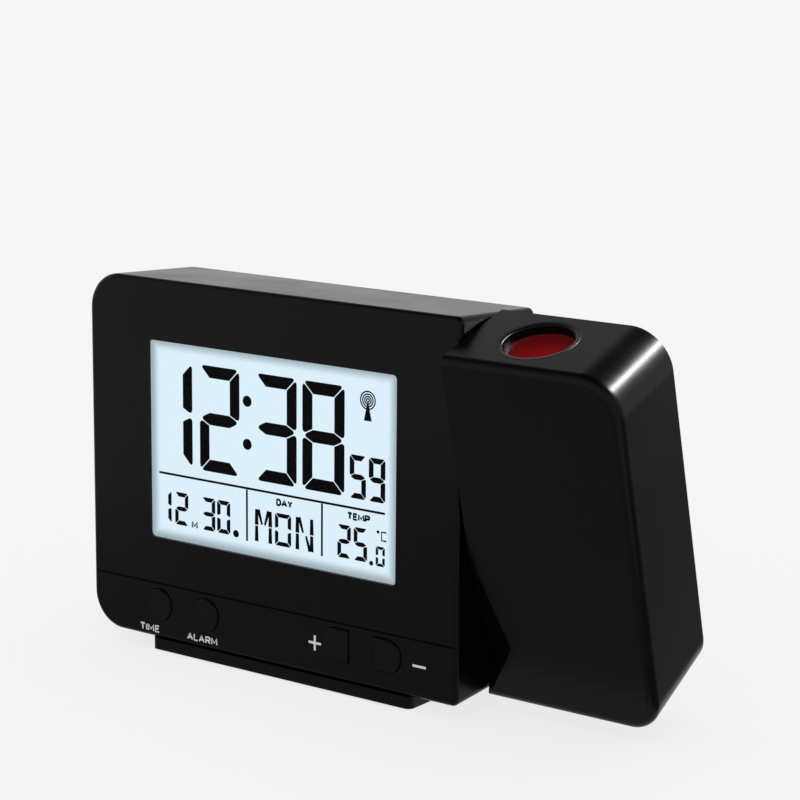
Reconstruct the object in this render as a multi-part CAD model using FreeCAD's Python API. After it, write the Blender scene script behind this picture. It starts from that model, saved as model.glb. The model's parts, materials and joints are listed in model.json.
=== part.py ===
import FreeCAD, Part
import math
import os

from FreeCAD import Vector

# A projection alarm clock: a slim upright case with a lit display, and a projector head that tilts
# on a hollow pivot at the case's right side. Millimetres. +X is to the right as the display is
# read, +Y goes away from the reader, +Z is up. The origin is the middle of the resting sole.

os.makedirs("parts", exist_ok=True)

# Fits
running_fit = 0.05
loose_fit = 0.2
seat_gap = 0.3

# Flat sides of round pieces that are small and out of sight, and of larger ones
few_sides = 8
many_sides = 24

# Case
case_width = 98.6
case_height = 80.0
case_depth = 26.0
case_wall = 2.0
case_top_fall = 1.5
case_floor_rise = 1.9
case_left_corner = 8.0
case_right_corner = 1.5
case_front_round = 1.1
groove_height = 12.6
groove_width = 0.5
groove_depth = 0.5

# Foot
foot_width = 70.2
foot_inset = 17.0
foot_height = 2.9
foot_corner = 1.5
sole_thick = 0.8
sole_proud = 0.3
sole_margin = 2.5

# Rear cover and battery bay
cover_thick = 2.4
cover_recess = 0.2
cell_radius = 5.2
cell_length = 43.2
cell_nub_radius = 1.9
cell_nub = 0.8
cell_pitch = 11.0
cell_contact_room = 3.0
spring_radius = 4.2
bay_wall = 1.2
bay_left = 10.1
bay_height = 30.1
bay_hook_room = 1.6
door_thick = 1.5
door_lap = 1.5
hook_width = 5.0
hook_thick = 1.2
hook_reach = 1.2
hook_setback = 1.5
hook_spread = 26.0
grip_radius = 9.0
grip_width = 14.0
grip_sink = 0.75
contact_thick = 0.4

# Display
window_left = 16.9
window_width = 66.3
window_floor = 22.9
window_above = 13.4
window_corner = 1.0
window_thick = 1.2
window_lap = 1.2
glass_margin = 2.0
glass_thick = 2.2
frame_wall = 1.4
frame_fit = 0.15
guide_margin = 0.8
connector_height = 2.5
connector_thick_margin = 4.0

# Main board
board_front = 8.1
board_thick = 1.6
board_margin = 2.4
board_floor = 4.1
board_drop = 5.9
boss_radius = 2.1
boss_hole = 0.9
boss_left = 19.1
boss_right = 79.1
boss_low = 16.6
boss_drop = 7.5

# Front keys
key_radius = 3.5
key_proud = 0.4
key_travel = 0.5
key_flange = 0.8
key_flange_thick = 0.9
key_height = 7.8
time_key_middle = 19.4
alarm_key_middle = 32.7
plus_key_middle = 67.9
minus_key_middle = 81.3
key_flat_corner = 0.6
panel_tab_width = 4.0
panel_tab_height = 3.0
panel_tab_thick = 1.2
panel_tab_places = (10.6, 47.0, 87.6)

# Push switches behind the keys
switch_size = 6.0
switch_body = 3.5
plunger_radius = 1.7
plunger_height = 0.8
switch_gap = 0.1

# Rear keys
rear_key_radius = 2.5
rear_key_proud = 0.5
rear_key_place = 76.1
rear_key_low = 22.1
rear_key_pitch = 9.0
rear_key_flange_thick = 1.0
rear_key_stem = 1.5

# Power inlet
jack_place = 26.1
jack_height = 11.1
jack_width = 9.0
jack_tall = 11.0
jack_bore = 2.75
jack_bore_depth = 9.0
jack_pin = 1.0
jack_pin_length = 8.2
jack_hole = 3.6

# Speaker
speaker_place = 76.1
speaker_drop = 16.9
speaker_radius = 10.0
speaker_thick = 4.0
speaker_rim = 1.0
speaker_rim_depth = 2.4
speaker_cone = 1.3
speaker_cap = 3.3
slot_height = 1.4
slot_pitch = 3.2
slot_count = 5

# Radio aerial, temperature sensor and touch plate
aerial_left = 12.1
aerial_length = 52.0
aerial_radius = 3.5
aerial_drop = 10.4
aerial_depth = 17.0
coil_length = 22.0
coil_thick = 0.8
cradle_width = 2.0
cradle_inset = 5.0
cradle_height = 9.0
sensor_place = 13.1
sensor_drop = 22.9
sensor_size = 3.0
sensor_tall = 4.0
vent_count = 3
vent_length = 8.0
touch_length = 40.0
touch_width = 14.0
touch_thick = 0.4
touch_front = 5.0

# Screws
screw_radius = 1.0
screw_length = 8.0
screw_head_radius = 2.0
screw_head_height = 1.2
post_radius = 2.8
post_inset = 5.6
post_inset_right = 6.0
post_low = 11.1
post_drop = 9.9
rib_thick = 1.2
small_screw_radius = 0.9
small_screw_head_radius = 1.7
small_screw_head = 0.9
small_screw_length = 4.0
foot_screw_spread = 35.0
foot_screw_middle = 54.6
foot_screw_depth = 16.0
foot_boss_height = 4.2

# Projector head, drawn upright
head_gap = 0.65
head_floor = 1.35
head_drop = 2.6
head_width_top = 39.35
head_width_floor = 40.15
head_depth = 23.5
head_wall = 2.0
head_top_rise = 1.4
head_floor_rise = 4.1
head_side_draft = 1.2
head_top_corner = 8.5
head_floor_corner = 6.5
head_front_round = 1.9
head_back_bevel = 1.2
head_tilt = 14.3
side_cover_thick = 1.8
facet_top = 34.8
facet_side = 7.5
facet_side_height = 14.6
facet_low = 1.5
facet_depth = 2.8
facet_deep_height = 10.0

# Hollow pivot
pivot_drop = 36.75
hub_radius = 5.5
hub_bore = 4.2
hub_flange_radius = 8.3
hub_flange_thick = 1.6
hub_tail = 1.5
bush_wall = 1.5
bush_flange = 1.5
bush_flange_thick = 1.2
washer_thick = 0.8
washer_width = 2.7
washer_gap = 0.1
clip_thick = 1.0
clip_depth = 0.6
clip_width = 2.7
clip_mouth_width = 3.6
hub_screw_count = 3
hub_screw_circle = 6.9
hub_screw_radius = 0.6
hub_screw_head_radius = 1.1
hub_screw_head = 0.7

# Projector optics
lens_place = 15.25
lens_depth = 11.8
bore_radius = 7.2
bore_rim = 1.2
bore_rim_depth = 0.7
barrel_wall = 1.2
barrel_length = 43.5
focus_fit = 0.1
focus_recess = 2.1
focus_height = 9.2
focus_wall = 1.1
grip_count = 24
grip_notch = 0.35
grip_length = 3.0
throat_radius = 6.4
lens_drop = 3.2
lens_thick = 4.0
lens_edge = 1.6
lens_middle = 3.2
condenser_height = 8.0
condenser_thick = 3.6
condenser_edge = 1.4
image_height = 15.0
image_width = 15.0
image_depth = 13.0
image_thick = 1.6
led_radius = 2.5
led_height = 3.0
led_dome = 2.0
led_tip = 1.2
led_board_thick = 1.6
led_board_depth = 17.0
led_board_right = 8.4
led_board_left = 12.0
cable_radius = 1.2
cable_bend = 2.4
socket_length = 6.0
socket_width = 6.0
socket_depth = 5.5
head_post_radius = 2.2
head_post_length = 6.0
head_post_wall_gap = 1.8
head_post_front_drop = 11.0
head_post_back_drop = 9.0
head_post_low_height = 12.0

# Places worked out from the sizes above
left = -(foot_inset + foot_width / 2)
right = left + case_width
front = -case_depth / 2
back = case_depth / 2
floor = foot_height
top = floor + case_height
inner_front = front + case_wall
inner_right = right - case_wall
cover_back = back - cover_recess
cover_front = cover_back - cover_thick
board_face = front + board_front
board_back = board_face + board_thick
head_left = right + head_gap
head_back = front + head_depth
head_height = case_height - head_floor - head_drop
window_height = case_height - window_floor - window_above
pivot_z = top - pivot_drop
pivot_axis = Vector(1, 0, 0)
pivot_point = Vector(head_left, 0, pivot_z)


def block(x0, x1, y0, y1, z0, z1):
    """A box between six planes."""
    return Part.makeBox(x1 - x0, y1 - y0, z1 - z0, Vector(x0, y0, z0))


def rod(radius, start, end):
    """A round bar between two points."""
    a, b = Vector(*start), Vector(*end)
    return Part.makeCylinder(radius, (b - a).Length, a, b - a)


def ring_wire(radii, centre, way):
    """A flat-sided outline round an axis, with one corner at each radius."""
    turn = FreeCAD.Rotation(Vector(0, 0, 1), way)
    corners = []
    for i, radius in enumerate(radii):
        angle = 2 * math.pi * (i + 0.5) / len(radii)
        corners.append(centre + turn.multVec(Vector(radius * math.cos(angle), radius * math.sin(angle), 0)))
    return Part.makePolygon(corners + corners[:1])


def bar(radius, start, end, sides=few_sides):
    """A flat-sided bar between two points, its corners at the radius."""
    a, b = Vector(*start), Vector(*end)
    return Part.Face(ring_wire([radius] * sides, a, b - a)).extrude(b - a)


def taper(first, last, start, end, sides=few_sides):
    """A flat-sided bar that goes from one radius to another."""
    a, b = Vector(*start), Vector(*end)
    wires = [ring_wire([first] * sides, a, b - a), ring_wire([last] * sides, b, b - a)]
    near, far = [[vertex.Point for vertex in wire.OrderedVertexes] for wire in wires]
    faces = [Part.Face(wire) for wire in wires]
    for i in range(sides):
        corners = [near[i - 1], near[i], far[i], far[i - 1], near[i - 1]]
        faces.append(Part.Face(Part.makePolygon(corners)))
    solid = Part.makeSolid(Part.makeShell(faces))
    if solid.Volume < 0:
        solid.reverse()
    return solid


def fused(shapes):
    """The shapes as one solid, with the seams between coplanar faces taken out."""
    whole = shapes[0]
    for shape in shapes[1:]:
        whole = whole.fuse(shape)
    return whole.removeSplitter()


def cut_all(shape, tools):
    for tool in tools:
        shape = shape.cut(tool)
    return shape


def six_sided(corners, rounds):
    """A flat-faced solid on eight corners, four in front and four behind, with its long edges rounded.

    The corners of each end go round in the same order, and rounds holds one radius for each.
    """
    ahead, behind = corners
    loops = [ahead, behind]
    for i in range(4):
        after = (i + 1) % 4
        loops.append([ahead[i], ahead[after], behind[after], behind[i]])
    faces = [Part.Face(Part.makePolygon(loop + [loop[0]])) for loop in loops]
    solid = Part.makeSolid(Part.makeShell(faces))
    if solid.Volume < 0:
        solid.reverse()
    for i, radius in enumerate(rounds):
        if radius > 0:
            solid = solid.makeFillet(radius, edges_where(
                solid, lambda p: p.distanceToLine(ahead[i], behind[i] - ahead[i]) < 0.001))
    return solid


def edges_where(shape, test):
    """The edges whose every sample point passes the test."""
    chosen = []
    for edge in shape.Edges:
        first, last = edge.ParameterRange
        points = [edge.valueAt(first + (last - first) * share) for share in (0.02, 0.5, 0.98)]
        if all(test(point) for point in points):
            chosen.append(edge)
    return chosen


def save(name, shape):
    """Write one node, and say what it holds."""
    solids = shape.Solids
    shape = solids[0] if len(solids) == 1 else Part.makeCompound(solids)
    if not shape.isValid() or not solids:
        print("BAD", name)
    shape.exportStep("parts/%s.step" % name)
    print("%-22s %2d solid %9.1f mm3" % (name, len(solids), sum(s.Volume for s in solids)))


# Case shell, button panel and display window


def case_form(y0, y1, inset):
    """The case's form between two depths, drawn in by inset. The top falls and the floor rises."""
    ends = []
    for y in (y0, y1):
        share = (y - front) / case_depth
        low = floor + case_floor_rise * share + inset
        high = top - case_top_fall * share - inset
        ends.append([Vector(left + inset, y, low), Vector(right - inset, y, low),
                     Vector(right - inset, y, high), Vector(left + inset, y, high)])
    left_round = case_left_corner - inset
    right_round = max(case_right_corner - inset, 0)
    return six_sided(ends, (left_round, right_round, right_round, left_round))


def window_box(grow, y0, y1):
    """The display window's rectangle, grown on all four sides, between two depths."""
    return block(left + window_left - grow, left + window_left + window_width + grow, y0, y1,
                 floor + window_floor - grow, floor + window_floor + window_height + grow)


def screw_places():
    """The four rear screws: (x, z) of each post, and the x of the side wall that its rib meets."""
    places = []
    for z in (floor + post_low, top - post_drop):
        places.append((left + post_inset, z, left + case_wall / 2))
        places.append((right - post_inset_right, z, right - case_wall / 2))
    return places


def board_screw_places():
    return [(left + x, z) for x in (boss_left, boss_right) for z in (floor + boss_low, top - boss_drop)]


def foot_screw_places():
    middle = left + foot_screw_middle
    return [(middle + side * foot_screw_spread / 2, front + foot_screw_depth) for side in (-1, 1)]


def window_opening():
    """The display opening with its four corners rounded."""
    x0, x1 = left + window_left, left + window_left + window_width
    z0, z1 = floor + window_floor, floor + window_floor + window_height
    ends = [[Vector(x0, y, z0), Vector(x1, y, z0), Vector(x1, y, z1), Vector(x0, y, z1)]
            for y in (front - 1, inner_front + 1)]
    return six_sided(ends, [window_corner] * 4)


outer = case_form(front, back, 0)
front_edges = edges_where(outer, lambda p: abs(p.y - front) < 0.01)
outer = outer.makeFillet(case_front_round, front_edges)
whole_shell = outer.cut(case_form(inner_front, back + 1, case_wall))
groove_z = floor + groove_height
strip = block(left - 1, right + 1, front - 1, inner_front, floor - 1, groove_z)
groove = block(left - 1, right + 1, front - 1, front + groove_depth,
               groove_z - groove_width / 2, groove_z + groove_width / 2)

shell_parts = [whole_shell.cut(strip)]
shell_holes = [groove, window_opening(), window_box(window_lap, inner_front - window_thick, inner_front)]
for x, z, wall_x in screw_places():
    shell_parts.append(bar(post_radius, (x, inner_front, z), (x, cover_front, z)))
    shell_parts.append(block(min(x, wall_x), max(x, wall_x), inner_front, cover_front - seat_gap,
                             z - rib_thick / 2, z + rib_thick / 2))
    shell_holes.append(bar(screw_radius, (x, cover_front - screw_length, z), (x, cover_front, z)))
for x, z in board_screw_places():
    shell_parts.append(bar(boss_radius, (x, inner_front - case_wall / 2, z), (x, board_face, z)))
    shell_holes.append(bar(boss_hole, (x, board_face - small_screw_length, z), (x, board_face, z)))
for x, y in foot_screw_places():
    shell_parts.append(bar(post_radius, (x, y, floor + case_floor_rise + case_wall / 2),
                           (x, y, floor + case_wall + foot_boss_height)))
    shell_holes.append(bar(screw_radius, (x, y, floor), (x, y, floor + case_wall + foot_boss_height)))
bush_radius = hub_radius + running_fit + bush_wall
shell_holes.append(bar(bush_radius, (inner_right, 0, pivot_z), (right, 0, pivot_z), many_sides))
case_shell = cut_all(fused(shell_parts), shell_holes)
save("case_shell", case_shell)


def key_wire(x, z, y, grow, flat_side):
    """A key's outline: round, or with one flat side at -1 (left) or 1 (right)."""
    radius = key_radius + grow
    if flat_side == 0:
        return Part.Wire(Part.makeCircle(radius, Vector(x, y, z), Vector(0, 1, 0)))
    s = flat_side
    arc = Part.Arc(Vector(x, y, z + radius), Vector(x - s * radius, y, z), Vector(x, y, z - radius))
    corner = key_flat_corner
    bend = corner * (1 - math.sqrt(0.5))
    low = Part.Arc(Vector(x + s * (radius - corner), y, z - radius),
                   Vector(x + s * (radius - bend), y, z - radius + bend),
                   Vector(x + s * radius, y, z - radius + corner))
    high = Part.Arc(Vector(x + s * radius, y, z + radius - corner),
                    Vector(x + s * (radius - bend), y, z + radius - bend),
                    Vector(x + s * (radius - corner), y, z + radius))
    runs = [
        Part.LineSegment(Vector(x, y, z - radius), low.StartPoint),
        low,
        Part.LineSegment(low.EndPoint, high.StartPoint),
        high,
        Part.LineSegment(high.EndPoint, Vector(x, y, z + radius)),
    ]
    return Part.Wire([arc.toShape()] + [run.toShape() for run in runs])


def key_prism(x, flat_side, grow, y0, y1):
    face = Part.Face(key_wire(x, floor + key_height, y0, grow, flat_side))
    return face.extrude(Vector(0, y1 - y0, 0))


front_keys = {
    "time_key": (left + time_key_middle, 0),
    "alarm_key": (left + alarm_key_middle, 0),
    "plus_key": (left + plus_key_middle, 1),
    "minus_key": (left + minus_key_middle, -1),
}

panel = whole_shell.common(strip).cut(groove)
for x, flat_side in front_keys.values():
    panel = panel.cut(key_prism(x, flat_side, loose_fit, front - 1, inner_front + 1))
tabs = []
for place in panel_tab_places:
    x = left + place
    tabs.append(block(x - panel_tab_width / 2, x + panel_tab_width / 2, inner_front,
                      inner_front + panel_tab_thick, groove_z - panel_tab_height / 2,
                      groove_z + panel_tab_height))
save("button_panel", fused([panel] + tabs))

flange_front = inner_front + seat_gap
flange_back = flange_front + key_flange_thick
for name, (x, flat_side) in front_keys.items():
    cap = key_prism(x, flat_side, 0, front - key_proud, flange_front)
    cap = cap.makeChamfer(key_proud / 2, edges_where(cap, lambda p: abs(p.y - front + key_proud) < 0.01))
    z = floor + key_height
    flange = bar(key_radius + key_flange, (x, flange_front, z), (x, flange_back, z))
    save(name, fused([cap, flange]))

save("lcd_window", window_box(window_lap - loose_fit / 2, inner_front - window_thick, inner_front))

# Display stack, from the window back to the main board

glass_back = inner_front + glass_thick
save("lcd_glass", window_box(glass_margin, inner_front, glass_back))
frame = window_box(glass_margin + frame_wall, inner_front, board_face)
save("lcd_frame", frame.cut(window_box(glass_margin + frame_fit, inner_front, board_face)))
guide_floor = floor + window_floor - glass_margin + connector_height + guide_margin
guide = window_box(glass_margin - guide_margin, glass_back, board_face)
above = block(left, right, front, back, guide_floor, top)
save("light_guide", guide.common(above))
connector_x = left + window_left + connector_thick_margin
save("lcd_connector", block(connector_x, connector_x + window_width - 2 * connector_thick_margin,
                            glass_back, board_face, guide_floor - guide_margin / 2 - connector_height,
                            guide_floor - guide_margin / 2))

# Main board with its switches, sensor, socket and screws

board_x0 = left + window_left - glass_margin - frame_wall - board_margin
board_x1 = left + window_left + window_width + glass_margin + frame_wall + 1
board = block(board_x0, board_x1, board_face, board_back, floor + board_floor, top - board_drop)
for x, z in board_screw_places():
    board = board.cut(bar(small_screw_radius + loose_fit, (x, board_face, z), (x, board_back, z)))
save("main_board", board)


def push_switch(x, z, base, side):
    """A square push switch on the board's face at y = base; side is -1 to the front, 1 to the back."""
    body_end = base + side * switch_body
    body = block(x - switch_size / 2, x + switch_size / 2, min(base, body_end), max(base, body_end),
                 z - switch_size / 2, z + switch_size / 2)
    return fused([body, bar(plunger_radius, (x, body_end, z), (x, body_end + side * plunger_height, z))])


save("front_switches", Part.makeCompound([
    push_switch(x, floor + key_height, board_face, -1) for x, flat_side in front_keys.values()
]))
rear_keys = {
    "rear_key_lower": floor + rear_key_low,
    "rear_key_middle": floor + rear_key_low + rear_key_pitch,
    "rear_key_upper": floor + rear_key_low + 2 * rear_key_pitch,
}
rear_x = left + rear_key_place
save("rear_switches", Part.makeCompound([
    push_switch(rear_x, z, board_back, 1) for z in rear_keys.values()
]))
rear_stem_end = board_back + switch_body + plunger_height + key_travel + switch_gap
rear_flange_back = cover_front - seat_gap
rear_flange_front = rear_flange_back - rear_key_flange_thick
for name, z in rear_keys.items():
    cap = bar(rear_key_radius, (rear_x, rear_flange_back, z), (rear_x, cover_back + rear_key_proud, z), many_sides)
    flange = bar(rear_key_radius + key_flange, (rear_x, rear_flange_front, z), (rear_x, rear_flange_back, z))
    stem = bar(rear_key_stem, (rear_x, rear_stem_end, z), (rear_x, rear_flange_front, z))
    save(name, fused([cap, flange, stem]))

sensor_x = left + sensor_place
sensor_z = top - sensor_drop
save("temperature_sensor", block(sensor_x - sensor_size / 2, sensor_x + sensor_size / 2, board_back,
                                 board_back + sensor_tall, sensor_z - sensor_size / 2,
                                 sensor_z + sensor_size / 2))
save("cable_socket", block(board_x1 - socket_length, board_x1, board_back, board_back + socket_depth,
                           pivot_z - socket_width / 2, pivot_z + socket_width / 2))
screws = []
for x, z in board_screw_places():
    head = bar(small_screw_head_radius, (x, board_back, z), (x, board_back + small_screw_head, z))
    shank = bar(small_screw_radius, (x, board_face - small_screw_length, z), (x, board_back, z))
    screws.append(fused([head, shank]))
save("board_screws", Part.makeCompound(screws))

# Rear cover with the battery bay, and what it carries

bay_x0 = left + bay_left
bay_x1 = bay_x0 + cell_length + cell_nub + 2 * cell_contact_room
cell_low = floor + bay_height
cell_high = cell_low + cell_pitch
bay_z0 = cell_low - cell_radius - bay_hook_room
bay_z1 = cell_high + cell_radius + loose_fit
bay_floor = cover_front - 2 * cell_radius
cell_y = bay_floor + loose_fit + cell_radius
door_front = cover_back - door_thick
door_z0 = bay_z0 - door_lap
door_z1 = bay_z1 + door_lap
door_x0 = bay_x0 - door_lap
door_x1 = bay_x1 + door_lap
hook_middle = (bay_x0 + bay_x1) / 2
hook_places = (hook_middle - hook_spread / 2, hook_middle + hook_spread / 2)
hook_back = cover_front - hook_setback / 2 + loose_fit / 2
hook_front = hook_back - hook_thick
speaker_x = left + speaker_place
speaker_z = top - speaker_drop
jack_x = left + jack_place
jack_z = floor + jack_height
aerial_x0 = left + aerial_left
aerial_y = front + aerial_depth
aerial_z = top - aerial_drop

cover_parts = [
    case_form(cover_front, cover_back, case_wall + loose_fit),
    block(bay_x0 - bay_wall, bay_x1 + bay_wall, bay_floor - bay_wall, cover_front,
          bay_z0 - bay_wall, bay_z1 + bay_wall),
    bar(speaker_radius + loose_fit + speaker_rim, (speaker_x, cover_front - speaker_rim_depth, speaker_z),
        (speaker_x, cover_front, speaker_z), many_sides),
]
cradle_places = (aerial_x0 + cradle_inset, aerial_x0 + aerial_length - cradle_inset)
for x in cradle_places:
    cover_parts.append(block(x - cradle_width / 2, x + cradle_width / 2, aerial_y - aerial_radius / 2,
                             cover_front, aerial_z - cradle_height / 2, aerial_z + cradle_height / 2))
cover_holes = [
    bar(speaker_radius + loose_fit, (speaker_x, cover_front - speaker_rim_depth, speaker_z),
        (speaker_x, cover_front, speaker_z), many_sides),
    block(bay_x0, bay_x1, bay_floor, back, bay_z0, bay_z1),
    block(door_x0 - loose_fit, door_x1 + loose_fit, door_front - loose_fit, back,
          door_z0 - loose_fit, door_z1 + loose_fit),
    bar(aerial_radius, (aerial_x0, aerial_y, aerial_z), (aerial_x0 + aerial_length, aerial_y, aerial_z), many_sides),
    bar(jack_hole, (jack_x, cover_front, jack_z), (jack_x, back, jack_z), many_sides),
]
for x in hook_places:
    cover_holes.append(block(x - hook_width / 2 - loose_fit, x + hook_width / 2 + loose_fit,
                             hook_front - 2 * loose_fit, cover_front, bay_z0 - bay_wall - 1, bay_z0))
for z in rear_keys.values():
    cover_holes.append(bar(rear_key_radius + loose_fit, (rear_x, cover_front, z), (rear_x, back, z), many_sides))
for i in range(slot_count):
    rise = (i - (slot_count - 1) / 2) * slot_pitch
    reach = math.sqrt((speaker_radius - slot_height) ** 2 - rise ** 2)
    cover_holes.append(block(speaker_x - reach, speaker_x + reach, cover_front, back,
                             speaker_z + rise - slot_height / 2, speaker_z + rise + slot_height / 2))
for i in range(vent_count):
    z = sensor_z + (i - (vent_count - 1) / 2) * slot_pitch
    cover_holes.append(block(sensor_x - vent_length / 2, sensor_x + vent_length / 2, cover_front, back,
                             z - slot_height / 2, z + slot_height / 2))
for x, z, wall_x in screw_places():
    cover_holes.append(bar(screw_radius + loose_fit, (x, cover_front, z), (x, back, z)))
    cover_holes.append(bar(screw_head_radius + loose_fit, (x, cover_back - screw_head_height, z), (x, back, z),
                           many_sides))
grip_y = cover_back + grip_radius - grip_sink
cover_holes.append(rod(grip_radius, (hook_middle - grip_width / 2, grip_y, door_z1),
                       (hook_middle + grip_width / 2, grip_y, door_z1)))
save("rear_cover", cut_all(fused(cover_parts), cover_holes))

door_parts = [block(door_x0, door_x1, door_front, cover_back, door_z0, door_z1)]
for x in hook_places:
    door_parts.append(block(x - hook_width / 2, x + hook_width / 2, hook_front, door_front,
                            bay_z0 + loose_fit, bay_z0 + loose_fit + hook_thick))
    door_parts.append(block(x - hook_width / 2, x + hook_width / 2, hook_front, hook_back,
                            bay_z0 - hook_reach, bay_z0 + loose_fit))
save("battery_door", fused(door_parts))

cells = []
plates = []
springs = []
for z, turned in ((cell_low, False), (cell_high, True)):
    plus = -1 if turned else 1
    middle = (bay_x0 + bay_x1) / 2
    can_start = middle - plus * (cell_length + cell_nub) / 2
    can_end = can_start + plus * cell_length
    cells.append(fused([
        bar(cell_radius, (can_start, cell_y, z), (can_end, cell_y, z), many_sides),
        bar(cell_nub_radius, (can_end, cell_y, z), (can_end + plus * cell_nub, cell_y, z)),
    ]))
    for side, x in ((plus, bay_x1 if plus > 0 else bay_x0), (-plus, bay_x0 if plus > 0 else bay_x1)):
        plates.append(block(min(x, x - side * contact_thick), max(x, x - side * contact_thick),
                            cell_y - cell_radius + loose_fit, cell_y + cell_radius - loose_fit,
                            z - cell_radius + loose_fit, z + cell_radius - loose_fit))
    spring_x = (bay_x0 if plus > 0 else bay_x1) + plus * contact_thick
    springs.append(taper(spring_radius, cell_nub_radius, (spring_x, cell_y, z), (can_start, cell_y, z)))
    nub_end = can_end + plus * cell_nub
    plate_x = (bay_x1 if plus > 0 else bay_x0) - plus * contact_thick
    springs.append(bar(cell_nub_radius, (nub_end, cell_y, z), (plate_x, cell_y, z)))
save("battery_cells", Part.makeCompound(cells))
save("contact_plates", Part.makeCompound(plates))
save("contact_springs", Part.makeCompound(springs))

jack = block(jack_x - jack_width / 2, jack_x + jack_width / 2, board_back, cover_front,
             jack_z - jack_tall / 2, jack_z + jack_tall / 2)
jack_floor = (jack_x, cover_front - jack_bore_depth, jack_z)
save("power_inlet", jack.cut(bar(jack_bore, jack_floor, (jack_x, cover_front, jack_z), many_sides)))
save("power_pin", bar(jack_pin, jack_floor, (jack_x, cover_front - jack_bore_depth + jack_pin_length, jack_z)))

speaker = bar(speaker_radius, (speaker_x, cover_front - speaker_thick, speaker_z),
              (speaker_x, cover_front, speaker_z), many_sides)
cone = taper(speaker_cap, speaker_radius - speaker_rim, (speaker_x, cover_front - speaker_cone, speaker_z),
             (speaker_x, cover_front, speaker_z), many_sides)
save("speaker", speaker.cut(cone))

aerial = bar(aerial_radius, (aerial_x0, aerial_y, aerial_z), (aerial_x0 + aerial_length, aerial_y, aerial_z),
             many_sides)
save("aerial_rod", aerial)
coil_x0 = aerial_x0 + (aerial_length - coil_length) / 2
coil = bar(aerial_radius + coil_thick, (coil_x0, aerial_y, aerial_z), (coil_x0 + coil_length, aerial_y, aerial_z),
           many_sides)
save("aerial_coil", coil.cut(aerial))

touch_middle = left + case_width / 2
touch_room = block(touch_middle - touch_length / 2, touch_middle + touch_length / 2,
                   front + touch_front, front + touch_front + touch_width, (floor + top) / 2, top)
touch = case_form(inner_front, back, case_wall).cut(case_form(inner_front, back, case_wall + touch_thick))
save("touch_plate", touch.common(touch_room))

screws = []
for x, z, wall_x in screw_places():
    head_front = cover_back - screw_head_height
    head = bar(screw_head_radius, (x, head_front, z), (x, cover_back, z), many_sides)
    shank = bar(screw_radius, (x, cover_front - screw_length, z), (x, head_front, z))
    screws.append(fused([head, shank]))
save("case_screws", Part.makeCompound(screws))

# Foot, sole and foot screws

foot_x0 = left + foot_inset
foot_x1 = foot_x0 + foot_width
foot_profile = Part.makePolygon([
    Vector(foot_x0, front, sole_proud), Vector(foot_x0, back, sole_proud),
    Vector(foot_x0, back, floor + case_floor_rise), Vector(foot_x0, front, floor),
    Vector(foot_x0, front, sole_proud),
])
foot = Part.Face(foot_profile).extrude(Vector(foot_width, 0, 0))
foot = foot.makeFillet(foot_corner, edges_where(
    foot, lambda p: min(abs(p.y - front), abs(p.y - back)) < 0.01 and min(p.x - foot_x0, foot_x1 - p.x) < 0.01))
sole = block(foot_x0 + sole_margin, foot_x1 - sole_margin, front + sole_margin, back - sole_margin,
             0, sole_thick)
foot = foot.cut(sole)
screws = []
for x, y in foot_screw_places():
    foot = foot.cut(bar(screw_radius + loose_fit, (x, y, 0), (x, y, top)))
    foot = foot.cut(bar(screw_head_radius + loose_fit, (x, y, 0), (x, y, sole_thick + screw_head_height)))
    head = bar(screw_head_radius, (x, y, sole_thick), (x, y, sole_thick + screw_head_height))
    shank = bar(screw_radius, (x, y, sole_thick + screw_head_height), (x, y, floor + case_wall + foot_boss_height))
    screws.append(fused([head, shank]))
save("foot", foot)
save("sole", sole)
save("foot_screws", Part.makeCompound(screws))

# Pivot: the bush in the case, and the head's hollow hub with its washer and clip

bush_x0 = inner_right - bush_flange_thick
bush = fused([
    bar(bush_radius, (inner_right, 0, pivot_z), (right, 0, pivot_z), many_sides),
    bar(bush_radius + bush_flange, (bush_x0, 0, pivot_z), (inner_right, 0, pivot_z), many_sides),
])
save("pivot_bush", bush.cut(rod(hub_radius + running_fit, (bush_x0, 0, pivot_z), (right, 0, pivot_z))))


def tilted(shape):
    """The head's pieces are drawn upright, and lean forward about the pivot as the head stands."""
    turned = shape.copy()
    turned.rotate(pivot_point, pivot_axis, head_tilt)
    return turned


def save_in_head(name, shape):
    save(name, tilted(shape))


flange_x0 = head_left + side_cover_thick
washer_x1 = bush_x0 - washer_gap
washer_x0 = washer_x1 - washer_thick
clip_x1 = washer_x0
clip_x0 = clip_x1 - clip_thick
hub_x0 = clip_x0 - hub_tail
hub_screw_spots = []
for i in range(hub_screw_count):
    angle = math.radians(90 + 360 * i / hub_screw_count)
    hub_screw_spots.append((hub_screw_circle * math.cos(angle), pivot_z + hub_screw_circle * math.sin(angle)))
hub = fused([
    rod(hub_radius, (hub_x0, 0, pivot_z), (flange_x0, 0, pivot_z)),
    bar(hub_flange_radius, (flange_x0, 0, pivot_z), (flange_x0 + hub_flange_thick, 0, pivot_z), many_sides),
])
hub = hub.cut(bar(hub_bore, (hub_x0, 0, pivot_z), (flange_x0 + hub_flange_thick, 0, pivot_z), many_sides))
groove_core = bar(hub_radius - clip_depth, (clip_x0, 0, pivot_z), (clip_x1, 0, pivot_z), many_sides)
hub = hub.cut(rod(hub_radius + loose_fit, (clip_x0, 0, pivot_z), (clip_x1, 0, pivot_z)).cut(groove_core))
screws = []
for y, z in hub_screw_spots:
    flange_x1 = flange_x0 + hub_flange_thick
    hub = hub.cut(bar(hub_screw_radius, (flange_x0, y, z), (flange_x1, y, z)))
    head = bar(hub_screw_head_radius, (flange_x1, y, z), (flange_x1 + hub_screw_head, y, z))
    screws.append(fused([head, bar(hub_screw_radius, (head_left + seat_gap, y, z), (flange_x1, y, z))]))
save_in_head("pivot_hub", hub)
save_in_head("hub_screws", Part.makeCompound(screws))
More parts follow.
